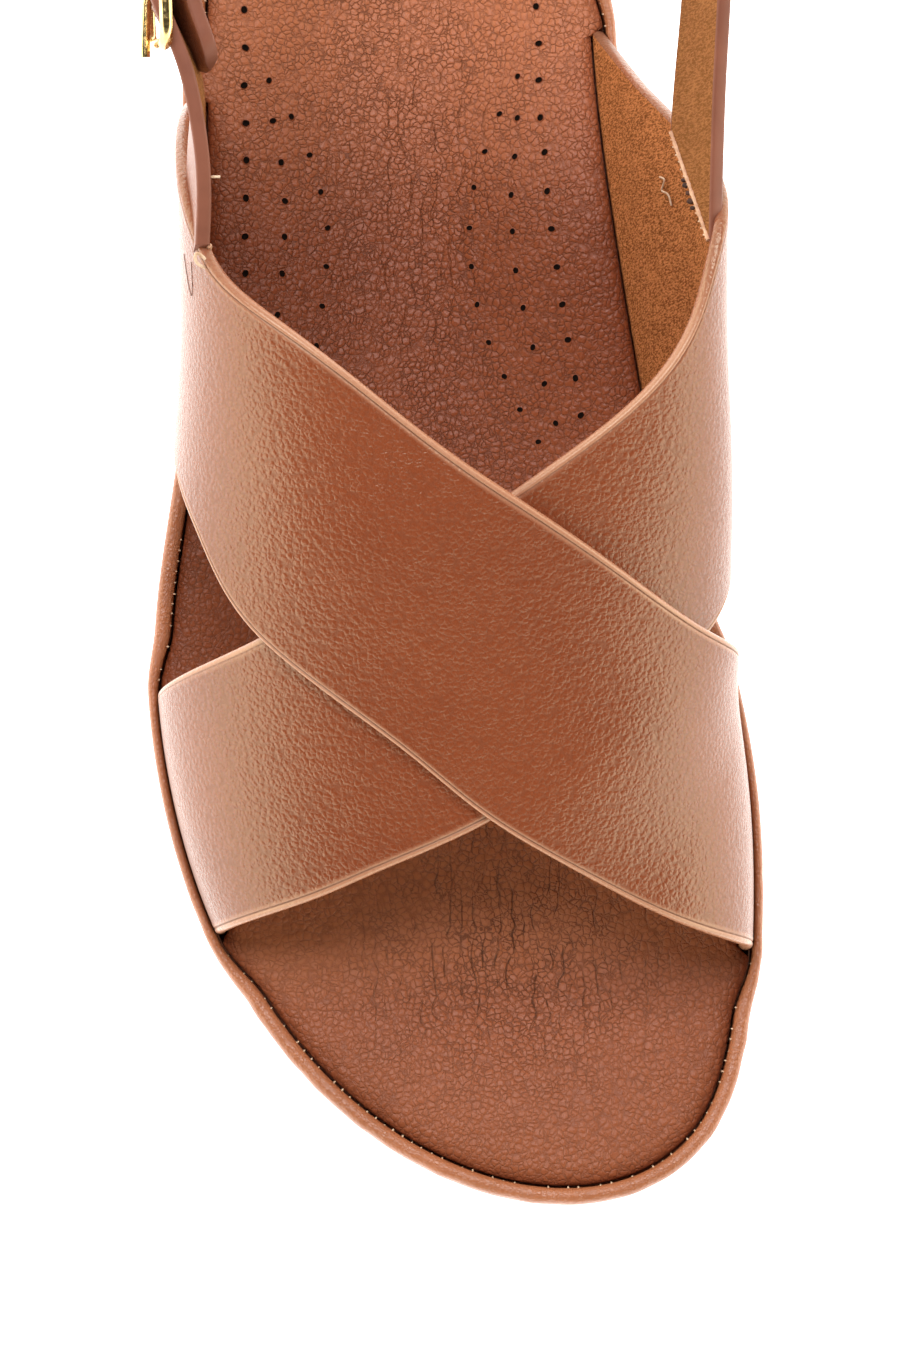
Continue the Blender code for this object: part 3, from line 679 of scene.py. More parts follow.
def insole_leather():
    """Brown pebbled leather with hair creases running lengthwise where the foot flexes, its tone lightened by
    painted light at the heel, the toe and under the crossing.
    """
    made, tree, shader = new_finish("insole_leather", roughness=0.42, specular=0.22)
    # Painted light: the tone is mixed toward the lighter colour at the heel, the toe and under the crossing
    toned = mixed(tree, point_mark(tree, "paler"), drifted(tree, INSOLE_TONES, 30.0), INSOLE_PAINTED_LIGHT)
    grain = use_group(tree, PEBBLED_GRAIN, Scale=980.0, Crease=point_mark(tree, "pebbled"), Dome=0.34)
    place = own_place(tree)
    across = node(tree, "ShaderNodeSeparateXYZ", Vector=place).outputs["X"]
    strand = plus(tree, times(tree, across, 520.0), times(tree, noise(tree, place, 150.0), 2.4))
    from_hair = arith(tree, "ABSOLUTE", arith(tree, "SUBTRACT", arith(tree, "FRACT", strand), 0.5))
    stretch = node(tree, "ShaderNodeMapping", Vector=place, Scale=(420.0, 150.0, 420.0)).outputs[0]
    broken = ranged(tree, noise(tree, stretch, 1.0), 0.46, 0.58)
    lengths = times(tree, broken, point_mark(tree, "flexed"))
    hair = times(tree, ranged(tree, from_hair, 0.1, 0.0), lengths)
    worn = mixed(tree, times(tree, grain["Valley"], 0.95), toned, INSOLE_VALLEY)
    plug(tree, shader["Base Color"], mixed(tree, times(tree, hair, 0.62), worn, INSOLE_HAIR))
    plug(tree, shader["Roughness"], ranged(tree, grain["Valley"], 0.0, 1.0, 0.36, 0.6))
    bumped(tree, shader, arith(tree, "SUBTRACT", grain["Height"], times(tree, hair, 0.9)), 0.34)
    return made


def ramp(value, start, end):
    """Smooth step from 0 at the start to 1 at the end."""
    return ease((value - start) / (end - start))


def flex_share(x, station, flex):
    """How much a place is flexed, fading away from the middle of the flex."""
    middle, long, across, wide = flex
    return np.exp(-((station - middle) / long) ** 2) * np.exp(-((x - across) / wide) ** 2)


def insole_marks(x, station):
    """Flexing, pebbles and painted light over the footbed cover."""
    front = flex_share(x, station, FRONT_FLEX)
    rear = REAR_FLEX_SHARE * flex_share(x, station, REAR_FLEX)
    plain, at_front, behind, at_middle = PEBBLES
    middle = np.exp(-((x - middle_x(station)) / PEBBLES_MIDDLE) ** 2)
    # Painted light under the crossing lifts the straps' shadow; at the toe it stands for sheen
    crossing_front = ramp(station - CROSSING_PAINTED_LIGHT_SKEW * x, *CROSSING_PAINTED_LIGHT_FRONT)
    crossing = crossing_front * ramp(station, *CROSSING_PAINTED_LIGHT_REAR)
    toe = TOE_PAINTED_LIGHT * ramp(station, *TOE_PAINTED_LIGHT_FROM) + CROSSING_PAINTED_LIGHT * crossing
    return {
        "flexed": np.clip(front + rear, 0, 1),
        "pebbled": plain + at_front * front + (behind + at_middle * middle) * ramp(station, *PEBBLES_BEHIND),
        "paler": np.maximum(HEEL_PAINTED_LIGHT * ramp(station, *HEEL_PAINTED_LIGHT_FROM), toe),
    }


def make_insole():
    """Footbed cover with its rolled edge, dish, arch and creases."""
    width = np.hypot(*(inward_ring(1.0, footbed_height)[:, :2] - EDGE).T)
    low = EDGE_RIM - INSOLE_EDGE_DROP - INSOLE
    inset, rise = INSOLE_FOOT
    rings = [inward_ring(share, lambda *at: footbed_height(*at) - INSOLE) for share in UNDER_RINGS]
    reach = (SLOT - SLOT_PLAIN) * (1.0 - ENTRY)
    rings.append(outward_ring(-inset, low))
    rings.append(outward_ring(reach, low + rise))
    for share in (0.0, *ROLL_RINGS, *TOP_RINGS):
        ring = inward_ring(share, footbed_height)
        ring[:, :2] += EDGE_OUT * (reach * (1.0 - ease(share * width / INSOLE_REACH)))[:, None]
        rolled = np.clip(share * width / INSOLE_ROLL, 0.0, 1.0)
        ring[:, 2] -= INSOLE_ROLL_DROP * (1.0 - np.sqrt(1.0 - (1.0 - rolled) ** 2))
        ring[:, 2] -= footbed_creases(ring[:, 0], ring[:, 1] + LENGTH / 2) * ease(share / CREASE_FROM)
        rings.append(ring)
    points = np.vstack(rings)
    marks = insole_marks(points[:, 0], points[:, 1] + LENGTH / 2)
    return add_piece("insole_cover", points, sole_faces(rings), [insole_leather()], marks=marks)


insole = make_insole()
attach(insole, "root")
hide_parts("insole")

# Pinholes: punched through the footbed cover in two wings of three columns, so that the foam can breathe.
# Each is a pressed lip round a shallow near-black floor, painted shade for the depth of the bore.

# Near-black painted shade for the inside of each pinhole
PINHOLE_SHADE = ((0.003, 0.0015, 0.001), (0.007, 0.003, 0.002))
PINHOLE_LIP = 0.2
PINHOLE_LIP_TALL = 0.1
PINHOLE_ROUND = 0.06
PINHOLE_FLOOR = 0.85
PINHOLE_OVAL = 0.1
PINHOLE_STRAY = (0.12, 0.14)
PINHOLE_SIDES = 16

# Columns of pinholes: bore radius, count, x and station at four places from the rear end to the front end
PINHOLE_COLUMNS = (
    (0.48, 12, ((-34.4, 212.1), (-33.8, 190.2), (-33.4, 168.3), (-33.4, 146.3))),
    (0.43, 6, ((-29.2, 170.6), (-27.3, 160.1), (-27.3, 150.4), (-28.3, 140.1))),
    (0.39, 8, ((-29.8, 177.0), (-22.7, 163.8), (-20.6, 150.0), (-22.4, 135.5))),
    (0.44, 16, ((11.4, 212.1), (12.7, 182.6), (14.8, 152.8), (19.7, 124.2))),
    (0.39, 9, ((9.7, 170.7), (8.4, 154.8), (10.9, 138.9), (15.6, 123.0))),
    (0.37, 11, ((9.5, 177.6), (2.3, 158.1), (4.3, 137.9), (12.7, 120.2))),
)
FOOTBED_NEAR = 14
FOOTBED_TOPS = np.array([vertex.co[:] for vertex in insole.data.vertices]) / MM
FOOTBED_TOPS = FOOTBED_TOPS[(len(UNDER_RINGS) + FOOT_RINGS) * AROUND:]


def on_footbed(x, y):
    """Height of the footbed cover at a point and its two slopes."""
    near = np.argsort((FOOTBED_TOPS[:, 0] - x) ** 2 + (FOOTBED_TOPS[:, 1] - y) ** 2)[:FOOTBED_NEAR]
    around = FOOTBED_TOPS[near]
    plane = np.column_stack([np.ones(len(near)), around[:, 0] - x, around[:, 1] - y])
    return np.linalg.lstsq(plane, around[:, 2], rcond=None)[0]


def curve_through(knots, count):
    """Smooth curve through given points, at equal steps."""
    knots = np.array(knots)
    at = np.linspace(0.0, 1.0, len(knots))
    steps = np.linspace(0.0, 1.0, count)
    return np.column_stack([smooth(at, values, steps) for values in knots.T])


def make_pinholes():
    """All pinholes as one mesh: a pressed lip and a near-black floor of painted shade each."""
    turns = np.linspace(0.0, 2 * math.pi, PINHOLE_SIDES, endpoint=False)
    draw = np.random.default_rng(7)
    points = []
    faces = []
    index = []
    for bore, count, knots in PINHOLE_COLUMNS:
        rings = ((bore + PINHOLE_LIP, 0.0), (bore + PINHOLE_ROUND, PINHOLE_LIP_TALL),
                 (bore, PINHOLE_LIP_TALL), (bore * PINHOLE_FLOOR, PINHOLE_ROUND))
        for x, station in curve_through(knots, count):
            x += draw.normal(0.0, PINHOLE_STRAY[0])
            y = station - LENGTH / 2 + draw.normal(0.0, PINHOLE_STRAY[1])
            z, slope_x, slope_y = on_footbed(x, y)
            oval = 1.0 + PINHOLE_OVAL * np.cos(2 * (turns - draw.uniform(0, math.pi)))
            base = len(points)
            for radius, height in rings:
                for turn, grow in zip(turns, oval):
                    east = radius * grow * math.cos(turn)
                    north = radius * grow * math.sin(turn)
                    points.append((x + east, y + north, z + slope_x * east + slope_y * north + height))
            faces += ring_faces(len(rings), PINHOLE_SIDES, start=base)
            faces.append(tuple(range(len(points) - PINHOLE_SIDES, len(points))))
            index += [0] * PINHOLE_SIDES + [1] * (2 * PINHOLE_SIDES + 1)
    # Painted shade inside each pinhole, standing in for the depth of the bore
    dark, tree, shader = new_finish("pinhole_shade", roughness=0.9, specular=0.05)
    plug(tree, shader["Base Color"], drifted(tree, PINHOLE_SHADE, 2000.0))
    plain = {mark: np.zeros(len(points)) for mark in ("flexed", "pebbled", "paler")}
    return add_piece("pinholes", points, faces, [insole.data.materials[0], dark], index, plain)


pinholes = make_pinholes()
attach(pinholes, "root")

# Rand: strip of grained leather lasted over the edge of the footbed and sewn down in the groove.
# It is rounded on top, tucked in under the edge, and swells where the straps go in.

# Rand tone lightened above the strap leather's as a painted highlight on its top; its side below is mixed
# darker
RAND_TOP_LIT_TONES = ((0.3, 0.094, 0.038), (0.35, 0.114, 0.048))
RAND_BELOW = (0.13, 0.036, 0.0145)
RAND_BELOW_SHARE = 0.6
RAND_BELOW_FROM = (0.4, 3.0)
RAND_VALLEY = (0.14, 0.042, 0.02)
RAND_TOP = 0.7
RAND_SHOULDER = 1.15
RAND_SQUARE = 0.8
RAND_SECTION_STEPS = 12
RAND_TUCK = 1.2
RAND_GATHER = 0.05
RAND_GATHER_FROM = (70.0, 30.0)
RAND_GATHER_SIDE = 0.6

# Inner face of the rand: distance beyond the groove, height over its foot
RAND_INSIDE = ((0.2, 0.3), (0.0, 1.0))
RAND_INSIDE_TOP = 2.0

# Outer face of the rand: fall below the rim, bulge
RAND_OUTSIDE = ((2.4, 0.06), (4.2, 0.08), (6.0, 0.05), (7.2, 0.0))

# Gathers round the toe: share, length of the wave, start
GATHER_WAVES = ((1.0, 1.15, 0.0), (0.6, 0.74, 1.0))


def rand_leather(name, tones, roughness, scale, depth):
    """Smooth grained leather, drawn tight, darker on its side below a top whose lighter tone is a painted
    highlight.
    """
    made, tree, shader = new_finish(name, roughness=roughness, specular=0.5)
    # Side below the top mixed darker; the lighter top tone is a painted highlight
    toned = mixed(tree, point_mark(tree, "below"), drifted(tree, tones, 60.0), RAND_BELOW)
    grain = use_group(tree, PEBBLED_GRAIN, Scale=scale, Crease=0.3, Dome=0.65)
    plug(tree, shader["Base Color"], mixed(tree, times(tree, grain["Valley"], 0.25), toned, RAND_VALLEY))
    polish = ranged(tree, grain["Valley"], 0.0, 1.0, roughness - 0.04, roughness + 0.1)
    plug(tree, shader["Roughness"], polish)
    bumped(tree, shader, grain["Height"], depth)
    return made


EDGE_ARC = run_length(EDGE)


def make_rand():
    """Rounded rim with slight gathers round the toe."""
    waves = sum(share * np.sin(EDGE_ARC / length + start) for share, length, start in GATHER_WAVES)
    gather = RAND_GATHER * ramp(EDGE_STATION, *RAND_GATHER_FROM) * waves
    bottom = EDGE_RIM - RAND_DEPTH
    shoulder = EDGE_RIM - RAND_SHOULDER
    rings = [outward_ring(SLOT + beyond, bottom + height) for beyond, height in RAND_INSIDE]
    rings.append(outward_ring(SLOT, shoulder - RAND_INSIDE_TOP))
    for turn in np.linspace(0.0, math.pi, RAND_SECTION_STEPS + 1):
        across = 0.5 - 0.5 * math.copysign(abs(math.cos(turn)) ** RAND_SQUARE, math.cos(turn))
        rise = (RAND_SHOULDER + RAND_TOP) * math.sin(turn) ** RAND_SQUARE
        rings.append(outward_ring(SLOT + across * WALL + gather * across, shoulder + rise))
    for fall, bulge in RAND_OUTSIDE:
        rings.append(outward_ring(SLOT + WALL + bulge + gather * RAND_GATHER_SIDE, EDGE_RIM - fall))
    for turn in np.radians(QUARTER_TURN):
        tuck = RAND_TUCK * (1 - math.cos(turn))
        rings.append(outward_ring(SLOT + WALL - tuck, bottom + RAND_TUCK * (1 - math.sin(turn))))
    faces = ring_faces(len(rings), AROUND, closed=True)
    leather = rand_leather("rand_leather", RAND_TOP_LIT_TONES, roughness=0.38, scale=1600.0, depth=0.1)
    points = np.vstack(rings)
    below = ramp(np.tile(EDGE_RIM, len(rings)) - points[:, 2], *RAND_BELOW_FROM)
    return add_piece("rand_rim", points, faces, [leather], marks={"below": RAND_BELOW_SHARE * below})


rand = make_rand()
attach(rand, "root")
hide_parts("rand")

# Rand stitching: pale thread that sews the rand down. Its small bights show in the groove between footbed
# and rand.

PALE_TONES = ((0.45, 0.27, 0.17), (0.66, 0.47, 0.34))
RAND_STITCH_PITCH = 1.7
RAND_STITCH = (0.34, 0.16, 0.16)
RAND_STITCH_OUT = 0.1
RAND_STITCH_DOWN = 0.55
RAND_STITCH_STRAY = 0.08
RAND_STITCH_SHOWN = 0.75
STITCH_ENTRY = 0.05
BEAD_SIDES = 6
BEAD_LEVELS = (-0.7, 0.0, 0.7)


def thread_finish(name, tones):
    """Spun thread or raw leather fibre, matt, with a quick change of tone."""
    made, tree, shader = new_finish(name, roughness=0.7, specular=0.3)
    plug(tree, shader["Base Color"], drifted(tree, tones, 900.0))
    return made


PALE_THREAD = thread_finish("pale_thread", PALE_TONES)


def bead_mesh(points, faces, centre, axes):
    """Adds one small rounded bead with the given half axes."""
    base = len(points)
    for up in BEAD_LEVELS:
        level = math.sqrt(1 - up * up)
        for turn in np.linspace(0.0, 2 * math.pi, BEAD_SIDES, endpoint=False):
            flat = axes[0] * level * math.cos(turn) + axes[1] * level * math.sin(turn)
            points.append(centre + flat + axes[2] * up)
    top = len(points) - BEAD_SIDES
    points.append(centre - axes[2])
    points.append(centre + axes[2])
    faces += ring_faces(len(BEAD_LEVELS), BEAD_SIDES, start=base)
    for i in range(BEAD_SIDES):
        j = (i + 1) % BEAD_SIDES
        faces.append((len(points) - 2, base + j, base + i))
        faces.append((len(points) - 1, top + i, top + j))


def on_edge(at, values):
    """Value round the footbed's edge at a distance along it."""
    return np.interp(at, EDGE_ARC, values)


def make_rand_stitches():
    """Bights of thread along the groove, left out where straps fill it."""
    draw = np.random.default_rng(11)
    points = []
    faces = []
    for at in np.arange(0.0, EDGE_ARC[-1], RAND_STITCH_PITCH):
        place = np.array([on_edge(at, EDGE[:, k]) for k in range(2)])
        out = unit(np.array([on_edge(at, EDGE_OUT[:, k]) for k in range(2)]))
        shown = draw.uniform() < RAND_STITCH_SHOWN
        stray = draw.normal(0.0, RAND_STITCH_STRAY, 3)
        if on_edge(at, ENTRY) > STITCH_ENTRY or not shown:
            continue
        flat = place + out * (on_edge(at, SLOT) + RAND_STITCH_OUT)
        centre = np.array([*flat, on_edge(at, EDGE_RIM) - RAND_STITCH_DOWN]) + stray
        axes = np.array([[*out, 0.0], [-out[1], out[0], 0.0], [0.0, 0.0, 1.0]])
        bead_mesh(points, faces, centre, axes * np.array(RAND_STITCH)[:, None])
    return add_piece("rand_stitches", points, faces, [PALE_THREAD])


rand_stitches = make_rand_stitches()
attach(rand_stitches, "root")

# Lower strap: wide band of pebbled leather with a camel lining. Its edges are turned over a cord of glue and
# creased with a hot iron, and it runs from the lateral groove in front to the medial quarter.

STRAP_TONES = ((0.173, 0.0355, 0.0126), (0.195, 0.043, 0.0156))
STRAP_GLOSS = (1.0, 0.98, 0.78)
STRAP_VALLEY = (0.1, 0.024, 0.01)
# Light rim colour: partly the turned edge's finish, partly painted highlight where the rim faces the light
STRAP_RIM_AND_HIGHLIGHT = (0.4, 0.18, 0.108)
# Dark colour of the ironed crease, also used as painted shade where the strap goes down into the groove
STRAP_CREASE_AND_SHADE = (0.1, 0.03, 0.014)
CAMEL_TONES = ((0.17, 0.051, 0.0135), (0.55, 0.192, 0.068))
STRAP_SEAT = 4.2
# Painted shade on the strap's ends where they curve down into the groove: turns over which it fades, share
STRAP_SEAT_SHADE_TURN = 0.07
STRAP_SEAT_SHADE = 0.7
STRAP_ROWS = 150
STRAP_CHORD = 33
STRAP_INNER = 26
STRAP_OUTER = 34
STRAP_INNER_FROM = 1.6
STRAP_OUTER_FROM = 0.7
RIM_STEPS = 8
# The rim's painted highlight fades over the quarter, where the edge turns away from the light: share,
# stations
RIM_HIGHLIGHT_FADE = 0.7
RIM_HIGHLIGHT_FADE_FROM = (122.0, 144.0)
LEAN_EASE = 0.15
LAST_SAMPLES = 61
LAST_SMOOTHING = 6

# Sections of the last above the rim: station, height, crown x, fullness, lateral lean, medial lean
LAST = (
    (36.0, 22.0, 6.0, 2.3, 0.0, 2.0),
    (58.0, 30.0, 3.0, 2.3, 0.0, 2.0),
    (80.0, 38.0, 0.0, 2.3, 0.0, 8.0),
    (105.0, 48.0, -3.0, 2.6, 2.0, 23.0),
    (130.0, 56.0, -5.0, 3.3, 3.0, 26.0),
    (160.0, 63.0, -8.0, 4.2, 4.0, 30.0),
    (190.0, 66.0, -9.0, 4.2, 4.0, 34.0),
)

# Lower strap, lateral groove to medial groove: front station, front turn, rear station, rear turn
LOWER_STRAP = (
    (43.0, 0.00, 80.0, 0.00),
    (43.2, 0.10, 80.5, 0.11),
    (46.0, 0.246, 83.0, 0.23),
    (50.5, 0.37, 88.0, 0.34),
    (58.0, 0.529, 97.0, 0.47),
    (68.0, 0.64, 107.0, 0.57),
    (78.0, 0.73, 118.0, 0.654),
    (87.0, 0.80, 130.0, 0.703),
    (97.0, 0.86, 142.0, 0.728),
    (105.0, 0.93, 157.0, 0.81),
    (110.0, 1.00, 184.0, 1.00),
)

# Turned edge on the grain side: distance in from the edge, height over the grain, rim mark (edge finish and
# painted highlight), crease mark
TURNED_EDGE = (
    (0.82, -0.02, 1.0, 0.0),
    (0.94, -0.10, 0.9, 0.5),
    (1.04, -0.18, 0.7, 1.0),
    (1.14, -0.10, 0.6, 0.5),
    (1.30, 0.02, 0.8, 0.0),
    (1.50, 0.03, 0.5, 0.0),
    (1.90, 0.00, 0.0, 0.0),
)
TURNED_RIM = 0.68
TURNED_FIRM_FROM = 0.9


def last_section(station):
    """X and height along one section of the last, lateral groove to medial groove."""
    height, crown, fullness, lateral_lean, medial_lean = (
        float(column(LAST, index, station)) for index in range(1, 6))
    angle = np.linspace(0.0, math.pi, LAST_SAMPLES)
    across = np.abs(np.cos(angle)) ** (2 / fullness)
    up = np.abs(np.sin(angle)) ** (2 / fullness)
    lean = np.hypot(up, LEAN_EASE) - LEAN_EASE
    lateral = edge_x(station, False) - GAP
    medial = edge_x(station, True) + GAP
    on_lateral = crown - (crown - lateral + lateral_lean * lean) * across
    on_medial = crown + (medial - crown + medial_lean * lean) * across
    x = np.where(angle < math.pi / 2, on_lateral, on_medial)
    rims = [rim_height(lateral, station), rim_height(medial, station)]
    return x, np.interp(x, [lateral, medial], rims) + height * up


LAST_STATIONS = np.arange(30.0, 200.5, 1.0)
LAST_TURNS = np.linspace(0.0, 1.0, 201)


def last_sheet():
    """Points of the last on a grid of stations and turns, and their outward directions."""
    points = np.zeros((len(LAST_STATIONS), len(LAST_TURNS), 3))
    for i, station in enumerate(LAST_STATIONS):
        x, z = last_section(station)
        run = run_length(np.column_stack([x, z]))
        points[i, :, 0] = np.interp(LAST_TURNS * run[-1], run, x)
        points[i, :, 1] = station - LENGTH / 2
        points[i, :, 2] = np.interp(LAST_TURNS * run[-1], run, z)
    for _ in range(LAST_SMOOTHING):
        inner = points[:, 1:-1].copy()
        points[:, 1:-1] = 0.5 * inner + 0.25 * (points[:, :-2] + points[:, 2:])
    return points, unit(np.cross(np.gradient(points, axis=1), np.gradient(points, axis=0)))


LAST_POINTS, LAST_NORMALS = last_sheet()


def on_last(sheet, station, turn):
    """Value of a sheet over the last at stations and turns, between its grid points."""
    step = LAST_STATIONS[1] - LAST_STATIONS[0]
    i = np.clip((station - LAST_STATIONS[0]) / step, 0, len(LAST_STATIONS) - 1.001)
    j = np.clip(turn * (len(LAST_TURNS) - 1), 0, len(LAST_TURNS) - 1.001)
    row = i.astype(int)
    place = j.astype(int)
    a = (i - row)[..., None]
    b = (j - place)[..., None]
    front = sheet[row, place] * (1 - b) + sheet[row, place + 1] * b
    return front * (1 - a) + (sheet[row + 1, place] * (1 - b) + sheet[row + 1, place + 1] * b) * a


def over_last(station, turn, height):
    """Points at heights over the last."""
    return on_last(LAST_POINTS, station, turn) + on_last(LAST_NORMALS, station, turn) * height[..., None]


def flat_lift(station, turn):
    """The lower strap lies on the last."""
    return np.zeros_like(station)


def turned_edge(width, firm):
    """Rim and creased border at one edge: share across, height, rim mark, crease mark."""
    half = STRAP / 2
    border = []
    for turn in np.linspace(-math.pi / 2, math.pi / 2, RIM_STEPS + 1):
        border.append((TURNED_RIM * (1 - math.cos(turn)) / width, half * (1 + math.sin(turn)), 1.0, 0.0))
    for inset, height, rim, crease in TURNED_EDGE:
        kept = rim if inset < TURNED_FIRM_FROM else rim * firm
        border.append((inset / width, STRAP + height * firm, kept, crease * firm))
    return border


def strap_section(width, firm_front, firm_rear):
    """Loop round a strap's section: share across, height, rim mark, crease mark."""
    plain = (TURNED_EDGE[-1][0] + STRAP_OUTER_FROM) / width
    lined = STRAP_INNER_FROM / width
    loop = turned_edge(width, firm_front)
    loop += [(share, STRAP, 0.0, 0.0) for share in np.linspace(plain, 1 - plain, STRAP_OUTER)]
    loop += [(1 - share, *rest) for share, *rest in turned_edge(width, firm_rear)[::-1]]
    loop += [(share, 0.0, 0.0, 0.0) for share in np.linspace(1 - lined, lined, STRAP_INNER)]
    return np.array(loop)


def strap_leather():
    """Pebbled leather, lighter on the turned rim as edge finish and painted highlight, dark in its ironed
    crease and as painted shade where the strap goes down into the groove.
    """
    made, tree, shader = new_finish("strap_leather", roughness=0.34, specular=0.6)
    plug(tree, shader["Specular Tint"], STRAP_GLOSS)
    grain = use_group(tree, PEBBLED_GRAIN, Scale=1250.0, Crease=0.22, Dome=0.7)
    rim = point_mark(tree, "rim")
    crease = point_mark(tree, "crease")
    worn = mixed(tree, times(tree, grain["Valley"], 0.45), drifted(tree, STRAP_TONES, 25.0), STRAP_VALLEY)
    # Rim colour: edge finish and painted highlight; crease colour: ironed crease and painted shade at the
    # groove
    edged_and_lit = mixed(tree, times(tree, rim, 0.8), worn, STRAP_RIM_AND_HIGHLIGHT)
    plug(tree, shader["Base Color"], mixed(tree, times(tree, crease, 0.75), edged_and_lit, STRAP_CREASE_AND_SHADE))
    polish = ranged(tree, grain["Valley"], 0.0, 1.0, 0.25, 0.42)
    plug(tree, shader["Roughness"], plus(tree, polish, times(tree, crease, 0.4)))
    flat = arith(tree, "SUBTRACT", 1.0, times(tree, rim, 0.85))
    bumped(tree, shader, times(tree, grain["Height"], flat), 0.1)
    return made


def make_lining_nap():
    """Brushed lining leather: short cloudy nap with a fine tooth."""
    tree, given, result = new_group(
        "lining nap", {"Low": BLACK, "High": WHITE}, {"Color": BLACK, "Height": 0.0})
    place = own_place(tree)
    cloud = noise(tree, place, 260.0, 5.0, 0.7)
    wrinkled = node(tree, "ShaderNodeMapping", Vector=place, Scale=(1400.0, 3800.0, 1400.0)).outputs[0]
    tooth = noise(tree, wrinkled, 1.0, 3.0, 0.7)
    both = plus(tree, times(tree, cloud, 0.15), times(tree, tooth, 0.85))
    plug(tree, result["Color"], mixed(tree, ranged(tree, both, 0.4, 0.6), given["Low"], given["High"]))
    plug(tree, result["Height"], both)
    return tree


LINING_NAP = make_lining_nap()


def lining_leather(name, tones):
    """Camel lining with a soft nap."""
    made, tree, shader = new_finish(name, roughness=0.85, specular=0.08)
    nap = use_group(tree, LINING_NAP, Low=tones[0], High=tones[1])
    plug(tree, shader["Base Color"], nap["Color"])
    bumped(tree, shader, nap["Height"], 0.4)
    return made


STRAP_LEATHER = strap_leather()
CAMEL_LINING = lining_leather("camel_lining", CAMEL_TONES)


def across_strap(edges, share):
    """Stations and turns at shares of the way from a strap's front edge to its rear edge."""
    front, front_turn, rear, rear_turn = edges.T[:, :, None]
    return front + (rear - front) * share, np.clip(front_turn + (rear_turn - front_turn) * share, 0.0, 1.0)


def end_caps(rings, count, start=0):
    """Faces that close the first and the last ring of points, numbered from a start."""
    last = start + (rings - 1) * count
    return [tuple(range(start, start + count)), tuple(range(last, last + count))]


def make_strap(name, table, lift, firm_front, firm_rear):
    """One cross strap with turned rims, creased edges, lining and ends standing in the groove."""
    edges = curve_through(table, STRAP_ROWS)
    chord = on_last(LAST_POINTS, *across_strap(edges, np.linspace(0.0, 1.0, STRAP_CHORD)))
    widths = np.linalg.norm(np.diff(chord, axis=1), axis=2).sum(axis=1)
    sections = np.array([strap_section(width, firm_front, firm_rear) for width in widths])
    stations, turns = across_strap(edges, sections[:, :, 0])
    # Painted highlight on the rim fades where the edge turns away from the light
    sections[:, :, 2] *= 1.0 - RIM_HIGHLIGHT_FADE * ramp(stations, *RIM_HIGHLIGHT_FADE_FROM)
    # Painted shade where the strap curves down into the groove, carried on the crease mark
    seated = STRAP_SEAT_SHADE * ease(1.0 - np.minimum(turns, 1.0 - turns) / STRAP_SEAT_SHADE_TURN)
    sections[:, :, 3] = np.maximum(sections[:, :, 3], seated)
    points = over_last(stations, turns, sections[:, :, 1] + lift(stations, turns))
    seats = np.array([[[0.0, 0.0, -STRAP_SEAT]], [[0.0, 0.0, -STRAP_SEAT / 2]]])
    points = np.concatenate([points[:1] + seats, points, points[-1:] + seats[::-1]])
    total, count = points.shape[:2]
    faces = ring_faces(total, count) + end_caps(total, count)
    lined = np.arange(count) >= count - STRAP_INNER - 1
    index = np.concatenate([np.tile(lined, total - 1), [False, False]])
    seated_rows = [sections[:1], sections[:1], sections, sections[-1:], sections[-1:]]
    marked = np.concatenate(seated_rows).reshape(-1, 4)
    marks = {"rim": marked[:, 2], "crease": marked[:, 3]}
    made = add_piece(name, points.reshape(-1, 3), faces, [STRAP_LEATHER, CAMEL_LINING], index, marks)
    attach(made, "root")
    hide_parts("upper")


make_strap("lower_strap", LOWER_STRAP, flat_lift, firm_front=0.9, firm_rear=0.5)

# Upper strap: the same leather, lining and turned edge. It runs from the medial groove in front to the
# lateral quarter, and rises where it rides over the lower strap.

CROSSING_EASE = 30.0
CROSSING_GROOVE = 0.06
CROSSING_GAP = 0.1
CROSSING_STEPS = 121

# Upper strap, medial groove to lateral groove: front station, front turn, rear station, rear turn
UPPER_STRAP = (
    (40.0, 1.00, 84.0, 1.00),
    (40.3, 0.91, 84.6, 0.89),
    (42.0, 0.81, 87.5, 0.77),
    (47.5, 0.68, 96.0, 0.65),
    (58.0, 0.53, 105.0, 0.545),
    (69.0, 0.43, 114.5, 0.45),
    (85.0, 0.296, 127.0, 0.355),
    (100.0, 0.225, 137.0, 0.285),
    (112.0, 0.15, 148.5, 0.235),
    (123.0, 0.07, 165.0, 0.13),
    (130.0, 0.00, 174.0, 0.00),
)


def crossing_lift(station, turn):
    """How far the upper strap rises where it rides over the lower strap."""
    front, front_turn, rear, rear_turn = curve_through(LOWER_STRAP, CROSSING_STEPS).T
    by_front = np.argsort(front_turn)
    by_rear = np.argsort(rear_turn)
    first = np.interp(turn, front_turn[by_front], front[by_front])
    last = np.interp(turn, rear_turn[by_rear], rear[by_rear])
    outside = np.maximum(np.maximum(first - station, station - last), 0.0)
    at_groove = ease(np.minimum(turn, 1.0 - turn) / CROSSING_GROOVE)
    return (STRAP + CROSSING_GAP) * ease(1.0 - outside / CROSSING_EASE) * at_groove


make_strap("upper_strap", UPPER_STRAP, crossing_lift, firm_front=0.9, firm_rear=1.0)

# Sling: narrow lined strap, its cut edges painted brown. It is sewn inside the medial quarter and runs round
# the heel to a rounded tip inside the buckle strap.

SLING_TONES = ((0.165, 0.044, 0.019), (0.2, 0.056, 0.025))
